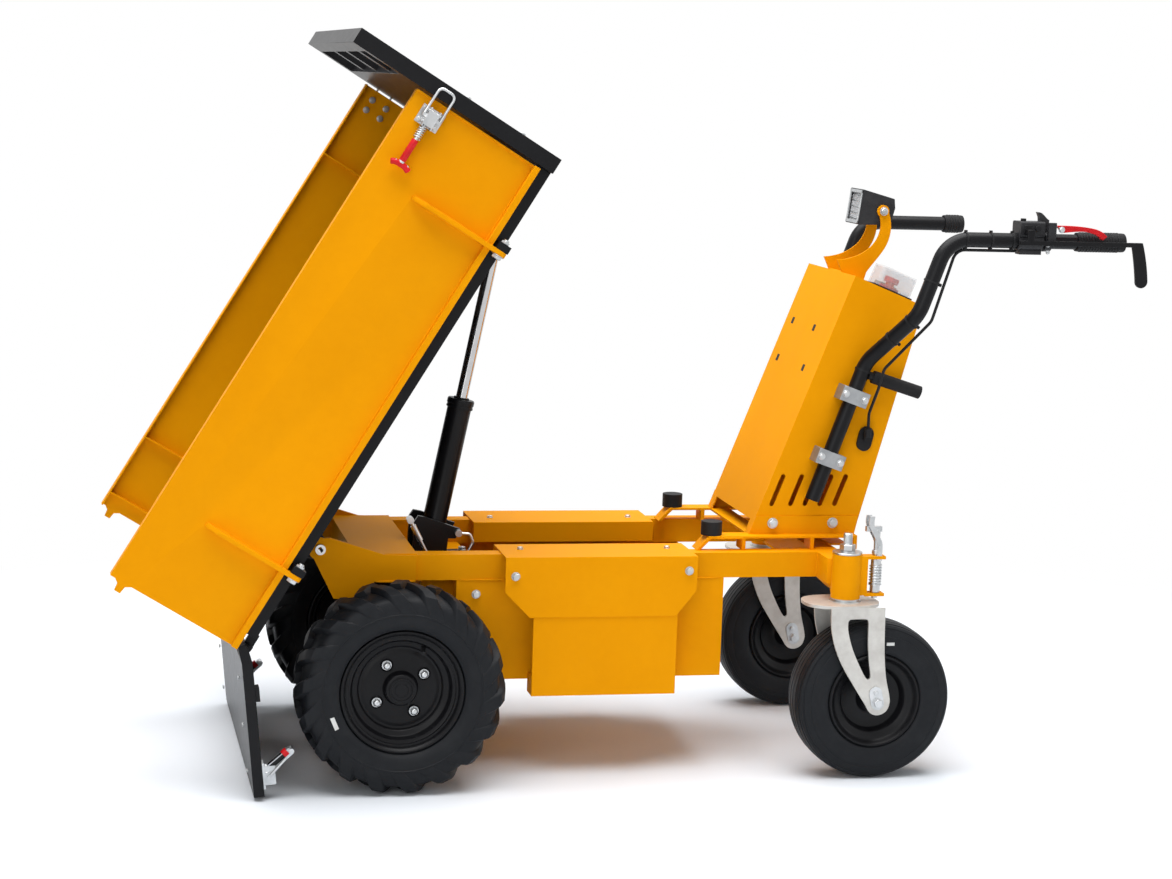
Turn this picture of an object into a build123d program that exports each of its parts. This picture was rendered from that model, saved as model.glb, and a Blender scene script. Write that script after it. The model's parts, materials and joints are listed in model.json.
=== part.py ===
"""A pedestrian tipping dumper: a skip bed on two driven tractor tyres, two swivel casters and a raised console.

The frame: millimetres, +Z up, +X towards the operator's handles, -Y the operator's left.  The origin lies on
the ground, in the middle of the machine's length and width.  The bed is modelled raised, its tailgate hanging.
"""

from build123d import *
import os
from math import atan2, cos, degrees, hypot, radians, sin

os.makedirs("parts", exist_ok=True)

# ------------------------------------------------------------------ driving dimensions
SIDES = (("left", -1), ("right", 1))  # the operator's left is -Y

ground_gap = 7  # what the hanging tailgate keeps clear of the ground
sheet = 3  # all folded sheet metal
weld_gap = 0.3  # running clearance of pins, and between curved pieces that seat

# wheels
drive_x = -463.07  # the drive axle, from the middle of the machine
drive_radius = 200
drive_width = 125
lug_count = 18  # on each half of a drive tyre's tread
lug_depth = 12
lug_sweep = 50  # how far a lug's tip runs ahead of its root, round the tyre
lug_root = 30  # its widths there
lug_tip = 20
tyre_flats = 32  # flats round a tyre, whose rims and hubs stay round
drive_y = 298.5  # centre plane of each drive tyre
bead_radius = 105
rim_radius = 116
wheelbase = 940
caster_radius = 158
caster_width = 92
caster_bead_radius = 84
caster_rim_radius = 92
caster_y = 282
trail = 58  # the caster's axle behind its swivel
swivel_x = drive_x + wheelbase - trail

fork_top_z = (346, 352)  # the caster fork's top plate

# chassis
rail_y = (165, 205)  # inner and outer faces of each rail
rail_z = (384, 434)
rail_dump_x = drive_x - 60
rail_end_x = drive_x + 846
arm_depth = 50  # the cross tube that carries the casters
barrel_z = (358, 446)  # the upright tube round each swivel

# bed, in its own plane: s runs from the tipping pin towards the headboard, h is square to the floor
tip_x = drive_x - 145
tip_z = 448
tip_pin_radius = 10
tip_angle = 58.8
bed_low_s = -185  # the platform's dump end
bed_high_s = 826  # its headboard end
bed_half = 367  # half the width of the platform
beam_h = (42, 72)  # underside and floor of the platform
beam_width = 30
wall_low_s = -216  # the drop sides reach past the platform, round the tailgate
wall_high_s = 821
wall_top_h = 332
wall_gap = 5  # between the floor and a drop side
headboard_thick = 30
headboard_top_h = 475
headboard_half = bed_half + 21  # it reaches as far out as the drop side hinges

# drop side hinges
strap_s = (-48, 652)
strap_width = 9
strap_top_h = 235
hinge_h = 48
hinge_y = bed_half + 21
hinge_eye = 13

# tailgate
gate_hinge_s = -211
gate_hinge_h = 41
gate_thick = 20
gate_face_s = wall_low_s  # outer face of the shut tailgate
gate_half = 362
gate_reach = 281  # hinge to free end
gate_open = 127  # how far it hangs open
gate_pin = 6

# cylinder
ram_base_x = drive_x + 100
ram_base_z = 430
ram_eye_s = 706  # where the rod's eye meets the bed, at h = 0
barrel_radius = 24
barrel_length = 285
rod_radius = 12
ram_eye_radius = 20
ram_eye_width = 26
stroke_room = 60  # rod left inside the barrel

# console
console_half = 155
console_z = 462
console_outline = (  # x from the drive axle, z
    (716, console_z),
    (913, 981),
    (1059, 923),
    (936, console_z),
)
tube_radius = 15
tube_y = 177  # the straight run of a handlebar beside the console
handle_y = 262  # the handles


def slab(x, y, z, mode=Mode.ADD):
    """A box between pairs of limits."""
    with Locations(((x[0] + x[1]) / 2, (y[0] + y[1]) / 2, (z[0] + z[1]) / 2)):
        Box(abs(x[1] - x[0]), abs(y[1] - y[0]), abs(z[1] - z[0]), mode=mode)


def both(sign, low, high):
    """A pair of limits on one side of the machine, in order."""
    return tuple(sorted((sign * low, sign * high)))


def upright(y=0):
    """The machine's side view at y: x across, z up, facing -Y."""
    return Plane(origin=(0, y, 0), x_dir=(1, 0, 0), z_dir=(0, -1, 0))


bed_along = Vector(cos(radians(tip_angle)), 0, sin(radians(tip_angle)))
bed_up = Vector(-sin(radians(tip_angle)), 0, cos(radians(tip_angle)))


def bed_view(y=0):
    """The bed's side view at y: s across, h up, facing -Y."""
    return Plane(origin=(tip_x, y, tip_z), x_dir=bed_along, z_dir=(0, -1, 0))


def bed_point(s, y, h):
    """A place on the bed in the machine's frame."""
    return Vector(tip_x, y, tip_z) + bed_along * s + bed_up * h


def box_on(view, across, y, up, mode=Mode.ADD):
    """A box in the directions of a side view, between pairs of limits."""
    with BuildSketch(view(max(y))) as face:
        with Locations(((across[0] + across[1]) / 2, (up[0] + up[1]) / 2)):
            Rectangle(across[1] - across[0], up[1] - up[0])
    extrude(face.sketch, amount=abs(y[1] - y[0]), mode=mode)


def bed_end(s):
    """A section across the bed at s: y across, h up, facing the headboard."""
    return Plane(origin=bed_point(s, 0, 0), x_dir=(0, 1, 0), z_dir=bed_along)


def write(piece, name):
    """Label a piece and store it."""
    piece.part.label = name
    export_step(piece.part, f"parts/{name}.step")


# ------------------------------------------------------------------ chassis
cross_plate_x = (drive_x - 78, drive_x + 42)
ram_cross_x = (drive_x + 58, drive_x + 182)
ram_cross_drop = 50
plate_thick = 8
lug_radius = 22
barrel_outer = 29
stem_radius = 12
arm_x = (rail_end_x, rail_end_x + arm_depth)
bracket_outline = (  # x from the drive axle, z
    (-165, 446),
    (-160, 464),
    (-128, 470),
    (-20, 436),
    (40, 434),
    (40, 384),
    (-40, 384),
    (-62, 348),
    (-118, 352),
)

with BuildPart() as main_frame:
    for side, sign in SIDES:
        slab((rail_dump_x, rail_end_x), both(sign, *rail_y), rail_z)
        with BuildSketch(upright(sign * rail_y[1] + (0 if sign < 0 else plate_thick))):
            with BuildLine():
                Polyline([(drive_x + x, z) for x, z in bracket_outline], close=True)
            make_face()
            with Locations((tip_x, tip_z)):
                Circle(lug_radius)
                Circle(tip_pin_radius + weld_gap, mode=Mode.SUBTRACT)
        extrude(amount=plate_thick)
    slab(cross_plate_x, (-rail_y[1], rail_y[1]), (rail_z[1] - sheet, rail_z[1] + sheet))
    slab((cross_plate_x[0], rail_dump_x), (-rail_y[1], rail_y[1]), (rail_z[0], rail_z[1]))
    slab(ram_cross_x, (-rail_y[0], rail_y[0]), (rail_z[0] - ram_cross_drop, rail_z[0] + sheet))
    slab(arm_x, (-caster_y + 10, caster_y - 10), rail_z)
    for side, sign in SIDES:
        with BuildSketch(upright(max(both(sign, rail_y[1] - 20, caster_y - 20)))):
            with BuildLine():
                Polyline(
                    (arm_x[0], rail_z[0] + 1),
                    (arm_x[0] + 26, barrel_z[0] + 4),
                    (swivel_x + 6, barrel_z[0] + 4),
                    (swivel_x + 6, rail_z[0] + 1),
                    close=True,
                )
            make_face()
        extrude(amount=caster_y - rail_y[1])
        with BuildSketch(Plane.XY.offset(barrel_z[0])):
            with Locations((swivel_x, sign * caster_y)):
                Circle(barrel_outer)
        extrude(amount=barrel_z[1] - barrel_z[0])
        # the bracket that holds the swivel lock
        lock_y = both(sign, caster_y - 13, caster_y + 13)
        slab((swivel_x, swivel_x + 40), lock_y, (barrel_z[0] + 6, barrel_z[1] - 4))
        slab((swivel_x + 36, swivel_x + 76), lock_y, (barrel_z[0] + 4, barrel_z[0] + 10))
        slab((swivel_x + 36, swivel_x + 76), lock_y, (barrel_z[1] - 10, barrel_z[1] - 4))
        with BuildSketch(Plane.XY.offset(barrel_z[0])):
            with Locations((swivel_x, sign * caster_y)):
                Circle(stem_radius + weld_gap)
        extrude(amount=barrel_z[1] - barrel_z[0], mode=Mode.SUBTRACT)
        with BuildSketch(Plane.XY.offset(barrel_z[0])):
            with Locations((swivel_x + 60, sign * caster_y)):
                Circle(6 + weld_gap)
        extrude(amount=barrel_z[1] - barrel_z[0], mode=Mode.SUBTRACT)
write(main_frame, "main_frame")

# the raised seat of the console, with the strips that carry the rubber stops
seat_y = (138, 180)
seat_z = (console_z - 5, console_z)
stop_x = drive_x + 638
stop_radius = 21
stop_top = tip_z + beam_h[0] - 0.5
console_foot_x = drive_x + console_outline[0][0]
console_heel_x = drive_x + console_outline[3][0]

with BuildPart() as console_seat:
    for side, sign in SIDES:
        slab((stop_x - 8, console_heel_x), both(sign, *seat_y), seat_z)
        with BuildSketch(upright(max(both(sign, *seat_y)))):
            with BuildLine():
                Polyline(
                    (stop_x - 34, rail_z[1]),
                    (stop_x - 27, rail_z[1]),
                    (stop_x - 4, seat_z[0]),
                    (stop_x - 4, seat_z[1]),
                    (stop_x - 9, seat_z[1]),
                    close=True,
                )
            make_face()
        extrude(amount=seat_y[1] - seat_y[0])
        for x in (console_foot_x - 20, rail_end_x - 8, console_heel_x - 8):
            slab((x, x + 8), both(sign, *seat_y), (rail_z[1], seat_z[0]))
    slab((console_foot_x, console_foot_x + 40), (-seat_y[0], seat_y[0]), seat_z)
    slab((console_heel_x - 40, console_heel_x), (-seat_y[0], seat_y[0]), seat_z)
    tie_x = (console_heel_x - 47, console_heel_x - 8)
    slab(tie_x, (-seat_y[0], seat_y[0]), (rail_z[1], rail_z[1] + 4))
write(console_seat, "console_seat")

with BuildPart() as bump_stops:
    for side, sign in SIDES:
        with BuildSketch(Plane.XY.offset(console_z)):
            with Locations((stop_x, sign * (seat_y[0] + seat_y[1]) / 2)):
                Circle(stop_radius)
        extrude(amount=stop_top - console_z)
write(bump_stops, "bump_stops")

# the tub between the wheels
tub_x = (drive_x + 120, drive_x + 655)
tub_half = rail_y[1]
tub_z = (186, rail_z[0])
with BuildPart() as centre_tub:
    slab(tub_x, (-tub_half, tub_half), tub_z)
    slab(
        (tub_x[0] + sheet, tub_x[1] - sheet),
        (-tub_half + sheet, tub_half - sheet),
        (tub_z[0] + sheet, tub_z[1]),
        mode=Mode.SUBTRACT,
    )
    slab(ram_cross_x, (-rail_y[0], rail_y[0]), (rail_z[0] - ram_cross_drop, rail_z[0]), mode=Mode.SUBTRACT)
write(centre_tub, "centre_tub")

cell_x = (drive_x + 270, drive_x + 548)
box_x = (drive_x + 265, drive_x + 552)
box_z = (162, 325)
box_lip_z = 200  # the box is open above this at its dump end
cover_x = (drive_x + 207, drive_x + 588)
cover_y = (118, 253)
cover_top = rail_z[1] + sheet
cover_kink_z = 368
cover_low_z = 318
cover_flange = 42

with BuildPart() as battery_packs:
    for side, sign in SIDES:
        slab(cell_x, both(sign, 6, tub_half - sheet - 4), (tub_z[0] + sheet, 326))
write(battery_packs, "battery_packs")

pack_z = (326, 388)
with BuildPart() as power_pack:
    slab((drive_x + 400, drive_x + 530), (-70, 70), pack_z)
    with BuildSketch(Plane.YZ.offset(drive_x + 290)):
        with Locations((0, pack_z[0] + 32)):
            Circle(30)
    extrude(amount=112)
    slab((drive_x + 300, drive_x + 385), (-20, 20), (pack_z[0], pack_z[0] + 12))
write(power_pack, "power_pack")

for side, sign in SIDES:
    with BuildPart() as side_box:
        slab(box_x, both(sign, tub_half, cover_y[1] - sheet), box_z)
        slab(
            (box_x[0] + sheet, box_x[1] - sheet),
            both(sign, tub_half, cover_y[1] - 2 * sheet),
            (box_z[0] + sheet, box_z[1]),
            mode=Mode.SUBTRACT,
        )
        slab(
            (box_x[0], box_x[0] + sheet),
            both(sign, tub_half, cover_y[1] - 2 * sheet),
            (box_lip_z, box_z[1]),
            mode=Mode.SUBTRACT,
        )
    write(side_box, f"side_box_{side}")

    with BuildPart() as cover:
        slab(cover_x, both(sign, *cover_y), (rail_z[1], cover_top))
        inner_y = both(sign, cover_y[0], cover_y[0] + sheet)
        slab(cover_x, inner_y, (cover_top - cover_flange, cover_top))
        with BuildSketch(upright(max(both(sign, cover_y[1] - sheet, cover_y[1])))):
            with BuildLine():
                Polyline(
                    (cover_x[0], cover_top),
                    (cover_x[0], cover_kink_z),
                    (cover_x[0] + 50, cover_low_z),
                    (cover_x[1] - 40, cover_low_z),
                    (cover_x[1], cover_kink_z),
                    (cover_x[1], cover_top),
                    close=True,
                )
            make_face()
        extrude(amount=sheet)
    write(cover, f"cover_{side}")

# drive axle with its motor, carried under the rails
disc_y = drive_y - 2.5
stub_radius = 22
with BuildPart() as drive_axle:
    with BuildSketch(upright(tub_half + 15)):
        with Locations((drive_x, drive_radius)):
            Circle(30)
    extrude(amount=2 * (tub_half + 15))
    with BuildSketch(upright(disc_y + 2)):
        with Locations((drive_x, drive_radius)):
            Circle(stub_radius)
    extrude(amount=2 * (disc_y + 2))
    slab((drive_x - 70, drive_x + 70), (-95, 95), (drive_radius - 70, drive_radius + 75))
    for side, sign in SIDES:
        hanger_y = both(sign, rail_y[0] + 5, rail_y[0] + 13)
        slab((drive_x - 40, drive_x + 40), hanger_y, (drive_radius, rail_z[0]))
write(drive_axle, "drive_axle")

# ------------------------------------------------------------------ cylinder base
ram_cheek = (30, 40)
ram_pin_radius = 9
base_plate_z = (rail_z[0] + sheet, rail_z[0] + sheet + 6)
base_plate_half = 62
cheek_outline = (  # x from the drive axle, z
    (57, base_plate_z[0]),
    (60, 468),
    (68, 480),
    (84, 477),
    (153, 453),
    (144, 434),
    (129, 434),
    (124, base_plate_z[0]),
)
with BuildPart() as cylinder_base:
    slab((ram_cross_x[0], ram_cross_x[1]), (-base_plate_half, base_plate_half), base_plate_z)
    for side, sign in SIDES:
        with BuildSketch(upright(max(both(sign, *ram_cheek)))):
            Polygon(*[(drive_x + x, z) for x, z in cheek_outline], align=None)
        extrude(amount=ram_cheek[1] - ram_cheek[0])
    with BuildSketch(upright(ram_cheek[1])):
        with Locations((ram_base_x, ram_base_z)):
            Circle(ram_pin_radius)
    extrude(amount=2 * ram_cheek[1])
write(cylinder_base, "cylinder_base")

# the fluid lines: each leaves a union on the left cheek and runs down to the base plate
union_radius = 7
line_foot = (8, 8)  # radius and height of the nut on the base plate
feed_y = -ram_cheek[1] - 7
feed_path = ((148, 446), (171, 444), (178, 427), (168, 408), (168, base_plate_z[1] + 2))
return_y = -ram_cheek[1] - 14
return_path = ((50, 474), (84, 408), (84, base_plate_z[1] + 2))
ferrule = (6, 12, 46)  # radius, where it starts and ends along the return line

for name, y, path, radius, bend in (
    ("feed_pipe", feed_y, feed_path, 3, 7),
    ("return_hose", return_y, return_path, 3.5, 12),
):
    with BuildPart() as fluid_line:
        with BuildSketch(upright(-ram_cheek[1])):
            with Locations((drive_x + path[0][0], path[0][1])):
                Circle(union_radius)
        extrude(amount=-ram_cheek[1] - y + 5)
        with BuildSketch(Plane.XY.offset(base_plate_z[1])):
            with Locations((drive_x + path[-1][0], y)):
                Circle(line_foot[0])
        extrude(amount=line_foot[1])
        with BuildLine() as run:
            FilletPolyline(*[(drive_x + x, y, z) for x, z in path], radius=bend)
        with BuildSketch(Plane(origin=run.line @ 0, z_dir=run.line % 0)):
            Circle(radius)
        sweep()
        if name == "return_hose":
            down = run.line % 0
            with BuildSketch(Plane(origin=run.line @ 0 + down * ferrule[1], z_dir=down)):
                Circle(ferrule[0])
            extrude(amount=ferrule[2] - ferrule[1])
    write(fluid_line, name)

# ------------------------------------------------------------------ console
outline = [Vector(drive_x + x, 0, z) for x, z in console_outline]
console_top = (outline[2] - outline[1]).normalized()
console_rise = (outline[1] - outline[0]).normalized()
console_normal = Vector(-console_top.Z, 0, console_top.X)
flange_height = 36
vent_x = (drive_x + 760, drive_x + 799, drive_x + 829, drive_x + 860, drive_x + 891)
vent_z = (518, 582)
vent_width = 10
front_holes = ((107, 865), (-39, 865), (107, 787), (-72, 787))  # y, z
grommet_at = (drive_x + 949, 655)
grommet_size = (50, 30)
cable_end_z = 677.8
notch_half = 128


def console_deck(x, y=0):
    """The console's sloping top, at x from the drive axle: x down the slope, facing up."""
    at = outline[1] + console_top * ((drive_x + x - outline[1].X) / console_top.X)
    return Plane(origin=at + Vector(0, y, 0), x_dir=console_top, z_dir=console_normal)


with BuildPart() as console:
    with BuildSketch(upright(console_half)):
        Polygon(*[(v.X, v.Z) for v in outline], align=None)
    extrude(amount=2 * console_half)
    with BuildSketch(upright(console_half - sheet)):
        inner = offset(Polygon(*[(v.X, v.Z) for v in outline], align=None, mode=Mode.PRIVATE), -sheet)
        add(inner)
        with Locations(((outline[0].X + outline[3].X) / 2, console_z)):
            Rectangle(outline[3].X - outline[0].X - 2.4 * sheet, 4 * sheet)
    extrude(amount=2 * (console_half - sheet), mode=Mode.SUBTRACT)
    for side, sign in SIDES:
        with BuildSketch(upright(max(both(sign, console_half, console_half + sheet)))):
            Polygon(
                (outline[0].X, console_z),
                (outline[0].X + flange_height * console_rise.X / console_rise.Z, console_z + flange_height),
                (outline[3].X + 8, console_z + flange_height),
                (outline[3].X, console_z),
                align=None,
            )
        extrude(amount=sheet)
    with BuildSketch(upright(console_half + sheet)):
        for x in vent_x:
            slope = degrees(atan2(console_rise.Z, console_rise.X))
            middle = x + (vent_z[1] - vent_z[0]) / 2 * console_rise.X / console_rise.Z
            with Locations(Location((middle, (vent_z[0] + vent_z[1]) / 2, 0), (0, 0, slope))):
                SlotOverall((vent_z[1] - vent_z[0]) / console_rise.Z, vent_width)
    extrude(amount=2 * console_half + 2 * sheet, mode=Mode.SUBTRACT)
    with BuildSketch(upright(-console_half + sheet)):
        with Locations(Location((*grommet_at, 0), (0, 0, 78))):
            SlotOverall(grommet_size[0] - 8, grommet_size[1] - 8)
    extrude(amount=2 * sheet, mode=Mode.SUBTRACT)
    notch_x = (outline[0].X - 1, outline[0].X + 18)
    slab(notch_x, (-notch_half, notch_half), (console_z, console_z + 26), mode=Mode.SUBTRACT)
    for y, z in front_holes:
        x = outline[0].X + (z - console_z) * console_rise.X / console_rise.Z
        slab((x - 6, x + 6), (y - 5, y + 5), (z - 5, z + 5), mode=Mode.SUBTRACT)
write(console, "console")

# lamp on two curved arms
lamp_pivot = (drive_x + 1002, 1104)
lamp_half = 40
arm_y = (lamp_half + 2, lamp_half + 6)
lamp_outline = ((951, 1076), (960, 1147), (1027, 1129), (1029, 1110), (1020, 1076))
arm_inner = ((909, 1004), (942, 1010), (970, 1024), (989, 1044), (998, 1074), (991, 1101))
arm_outer = ((1014, 1100), (1020, 1070), (1013, 1038), (992, 1006), (972, 980))
deck = console_deck(0)

with BuildPart() as lamp_bracket:
    foot = (console_deck(921).origin, console_deck(966).origin)
    for side, sign in SIDES:
        with BuildSketch(upright(max(both(sign, *arm_y)))):
            with BuildLine():
                inside = Spline(*[(drive_x + x, z) for x, z in arm_inner])
                outside = Spline(*[(drive_x + x, z) for x, z in arm_outer])
                Line(inside @ 1, outside @ 0)
                Polyline(outside @ 1, (foot[1].X, foot[1].Z), (foot[0].X, foot[0].Z), inside @ 0)
            make_face()
            with Locations(lamp_pivot):
                Circle(12.5)
        extrude(amount=arm_y[1] - arm_y[0])
        with BuildSketch(upright(max(both(sign, lamp_half, arm_y[1] + 3)))):
            with Locations(lamp_pivot):
                Circle(5)
        extrude(amount=arm_y[1] + 3 - lamp_half)
    with BuildSketch(console_deck(943)):
        Rectangle(46, 2 * arm_y[1])
    extrude(amount=4)
write(lamp_bracket, "lamp_bracket")

lamp_face = Vector(lamp_outline[1][0] - lamp_outline[0][0], 0, lamp_outline[1][1] - lamp_outline[0][1])
with BuildPart() as work_lamp:
    with BuildSketch(upright(lamp_half)):
        Polygon(*[(drive_x + x, z) for x, z in lamp_outline], align=None)
    extrude(amount=2 * lamp_half)
    lamp_front = Plane(
        origin=(drive_x + lamp_outline[0][0], 0, lamp_outline[0][1]),
        x_dir=(0, -1, 0),
        z_dir=(-lamp_face.Z, 0, lamp_face.X),
    )
    with BuildSketch(lamp_front.offset(-8)):
        with Locations((0, lamp_face.length / 2)):
            Rectangle(2 * lamp_half - 12, lamp_face.length - 12)
    extrude(amount=9, mode=Mode.SUBTRACT)
write(work_lamp, "work_lamp")

with BuildPart() as lamp_lens:
    with BuildSketch(lamp_front.offset(-8)):
        with Locations((0, lamp_face.length / 2)):
            Rectangle(2 * lamp_half - 13, lamp_face.length - 13)
    extrude(amount=4)
write(lamp_lens, "lamp_lens")

# stop button under its clear guard, and the charging socket's cap
button_y = -98
button_x = 1000
guard_size = (78, 62, 44)
with BuildPart() as stop_button:
    with BuildSketch(console_deck(button_x, button_y)):
        Circle(21)
    extrude(amount=10)
    with BuildSketch(console_deck(button_x, button_y).offset(9)):
        Circle(9)
    extrude(amount=10)
    with BuildSketch(console_deck(button_x, button_y).offset(18)):
        Circle(15)
    extrude(amount=11)
write(stop_button, "stop_button")

with BuildPart() as button_guard:
    with BuildSketch(console_deck(button_x + 2, button_y)):
        RectangleRounded(guard_size[0], guard_size[1], 8)
    extrude(amount=guard_size[2])
    with BuildSketch(console_deck(button_x + 2, button_y)):
        RectangleRounded(guard_size[0] - 5, guard_size[1] - 5, 6)
    extrude(amount=guard_size[2] - 2.5, mode=Mode.SUBTRACT)
write(button_guard, "button_guard")

with BuildPart() as socket_cap:
    with BuildSketch(console_deck(1028, 10)):
        Circle(27)
    extrude(amount=10)
    with BuildSketch(console_deck(1028, 10).offset(9)):
        Circle(24)
    extrude(amount=9)
write(socket_cap, "socket_cap")

with BuildPart() as cable_grommet:
    grommet_plane = Plane(
        origin=(grommet_at[0], -console_half, grommet_at[1]),
        x_dir=(cos(radians(78)), 0, sin(radians(78))),
        z_dir=(0, -1, 0),
    )
    with BuildSketch(grommet_plane):
        SlotOverall(*grommet_size)
    extrude(amount=6)
    # the cable's strain relief, up the side of the console
    with BuildSketch(Plane(origin=(grommet_at[0] + 1, -console_half - 16, grommet_at[1] + 4), z_dir=(0, 0, 1))):
        Circle(7)
    extrude(amount=cable_end_z - grommet_at[1] - 4)
    slab(
        (grommet_at[0] - 6, grommet_at[0] + 8),
        (-console_half - 18, -console_half - 5),
        (grommet_at[1] - 2, grommet_at[1] + 12),
    )
write(cable_grommet, "cable_grommet")

# ------------------------------------------------------------------ handlebars
handle_path = (  # x from the drive axle, y, z
    (838, tube_y, 534),
    (936, tube_y, 812),
    (1010, handle_y, 915),
    (1063, handle_y, 1064),
)
handle_end = {"left": 1424, "right": 1284}
bend_radius = 62

for side, sign in SIDES:
    with BuildPart() as handlebar:
        with BuildLine() as route:
            FilletPolyline(
                *[(drive_x + x, sign * y, z) for x, y, z in handle_path],
                (drive_x + handle_end[side], sign * handle_y, handle_path[-1][2]),
                radius=bend_radius,
            )
        with BuildSketch(Plane(origin=route.line @ 0, z_dir=route.line % 0)):
            Circle(tube_radius)
        sweep()
    write(handlebar, f"handlebar_{side}")

with BuildPart() as handle_clamps:
    lean = degrees(atan2(handle_path[1][2] - handle_path[0][2], handle_path[1][0] - handle_path[0][0]))
    for side, sign in SIDES:
        for reach in (0.302, 0.754):
            clamp_x = drive_x + handle_path[0][0] + reach * (handle_path[1][0] - handle_path[0][0])
            clamp_z = handle_path[0][2] + reach * (handle_path[1][2] - handle_path[0][2])
            with BuildSketch(upright(max(both(sign, console_half, tube_y + tube_radius + 3)))):
                with Locations(Location((clamp_x, clamp_z, 0), (0, 0, lean))):
                    Rectangle(30, 58)
            extrude(amount=tube_y + tube_radius + 3 - console_half)
            tube_run = (cos(radians(lean)), 0, sin(radians(lean)))
            with BuildSketch(Plane(origin=(clamp_x, sign * tube_y, clamp_z), z_dir=tube_run)):
                Circle(tube_radius + weld_gap)
            extrude(amount=40, both=True, mode=Mode.SUBTRACT)
write(handle_clamps, "handle_clamps")

# ------------------------------------------------------------------ controls on the left handle
handle_z = handle_path[-1][2]
grip_length = 100
peg_radius = 13
peg_stub = 18
peg_reach = 0.92  # of the straight run beside the console
peg_start = (1 - peg_reach) * Vector(*handle_path[0]) + peg_reach * Vector(*handle_path[1])
peg_end = Vector(1050, tube_y + 6, 752)

with BuildPart() as grips:
    for side, sign in SIDES:
        end = drive_x + handle_end[side]
        length = grip_length if sign < 0 else 42
        with BuildSketch(Plane.YZ.offset(end - length + 4)):
            with Locations((sign * handle_y, handle_z)):
                Circle(tube_radius + 3.5)
                Circle(tube_radius + weld_gap, mode=Mode.SUBTRACT)
        extrude(amount=length - 4)
        with BuildSketch(Plane.YZ.offset(end + weld_gap)):
            with Locations((sign * handle_y, handle_z)):
                Circle(tube_radius + 3.5)
        extrude(amount=4)
        with BuildSketch(Plane.YZ.offset(end - 1)):
            with Locations((sign * handle_y, handle_z)):
                Circle(tube_radius + 3.5)
                Circle(tube_radius + weld_gap, mode=Mode.SUBTRACT)
        extrude(amount=2)
write(grips, "grips")

with BuildPart() as pegs:
    for side, sign in SIDES:
        start = Vector(drive_x + peg_start.X, sign * peg_start.Y, peg_start.Z)
        finish = Vector(drive_x + peg_end.X, sign * peg_end.Y, peg_end.Z)
        run = (finish - start).normalized()
        with BuildSketch(Plane(origin=start + run * (tube_radius + weld_gap), z_dir=run)):
            Circle(8)
        extrude(amount=peg_stub)
        with BuildSketch(Plane(origin=start + run * (tube_radius + peg_stub / 2), z_dir=run)):
            Circle(peg_radius)
        extrude(amount=(finish - start).length - tube_radius - peg_stub / 2)
write(pegs, "pegs")

control_end = drive_x + handle_end["left"]
pod_x = (control_end - 221, control_end - 170)
lever_x = control_end - 150
lever_y = (handle_y + 21, handle_y + 31)
with BuildPart() as control_pod:
    with BuildSketch(Plane.YZ.offset(pod_x[0])):
        with Locations((-handle_y, handle_z)):
            Circle(tube_radius + 5)
        with Locations((-handle_y, handle_z + 24)):
            RectangleRounded(44, 30, 5)
        with Locations((-handle_y, handle_z)):
            Circle(tube_radius + weld_gap, mode=Mode.SUBTRACT)
    extrude(amount=pod_x[1] - pod_x[0])
    clip_z = (handle_z - 26, handle_z - tube_radius - 2)
    slab((pod_x[0] + 4, pod_x[1] - 2), (-handle_y - 12, -handle_y + 12), clip_z)
    with BuildSketch(Plane.YZ.offset(pod_x[1] + 4)):
        with Locations((-handle_y, handle_z)):
            Circle(tube_radius + 5)
            Circle(tube_radius + weld_gap, mode=Mode.SUBTRACT)
    extrude(amount=14)
    slab((pod_x[1] - 1, pod_x[1] + 18), (-handle_y - 9, -handle_y + 9), (handle_z + 17, handle_z + 27))
    with BuildSketch(upright(-handle_y + 6)):
        with BuildLine():
            Polyline(
                (pod_x[1] - 4, handle_z + 22),
                (pod_x[1] - 7, handle_z + 48),
                (pod_x[1] - 11, handle_z + 57),
            )
            Spline(
                (pod_x[1] - 11, handle_z + 57),
                (pod_x[1] - 2, handle_z + 55),
                (pod_x[1] + 8, handle_z + 46),
                (pod_x[1] + 14, handle_z + 42),
            )
            Polyline(
                (pod_x[1] + 14, handle_z + 42),
                (pod_x[1] + 12, handle_z + 22),
                (pod_x[1] - 4, handle_z + 22),
            )
        make_face()
    extrude(amount=12)
    # the lever's root reaches past the tube
    root_x = (lever_x - 16, lever_x - 0.2)
    slab(root_x, (-lever_y[1], -handle_y - tube_radius - 4), (handle_z - 8, handle_z + 8))
    slab(root_x, (-lever_y[1], -lever_y[0]), (handle_z - 8, handle_z + 38))
write(control_pod, "control_pod")

with BuildPart() as brake_lever:
    with BuildSketch(upright(-lever_y[0])):
        with BuildLine():
            top = Spline(
                (lever_x, handle_z + 33),
                (lever_x + 22, handle_z + 33),
                (lever_x + 68, handle_z + 30),
                (lever_x + 92, handle_z + 24),
                (lever_x + 107, handle_z + 13),
            )
            low = Spline(
                (lever_x + 98, handle_z + 6),
                (lever_x + 76, handle_z + 19),
                (lever_x + 46, handle_z + 22),
                (lever_x + 23, handle_z + 20),
                (lever_x + 12, handle_z + 19),
            )
            Line(top @ 1, low @ 0)
            Line(low @ 1, top @ 0)
        make_face()
    extrude(amount=lever_y[1] - lever_y[0])
write(brake_lever, "brake_lever")

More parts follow.
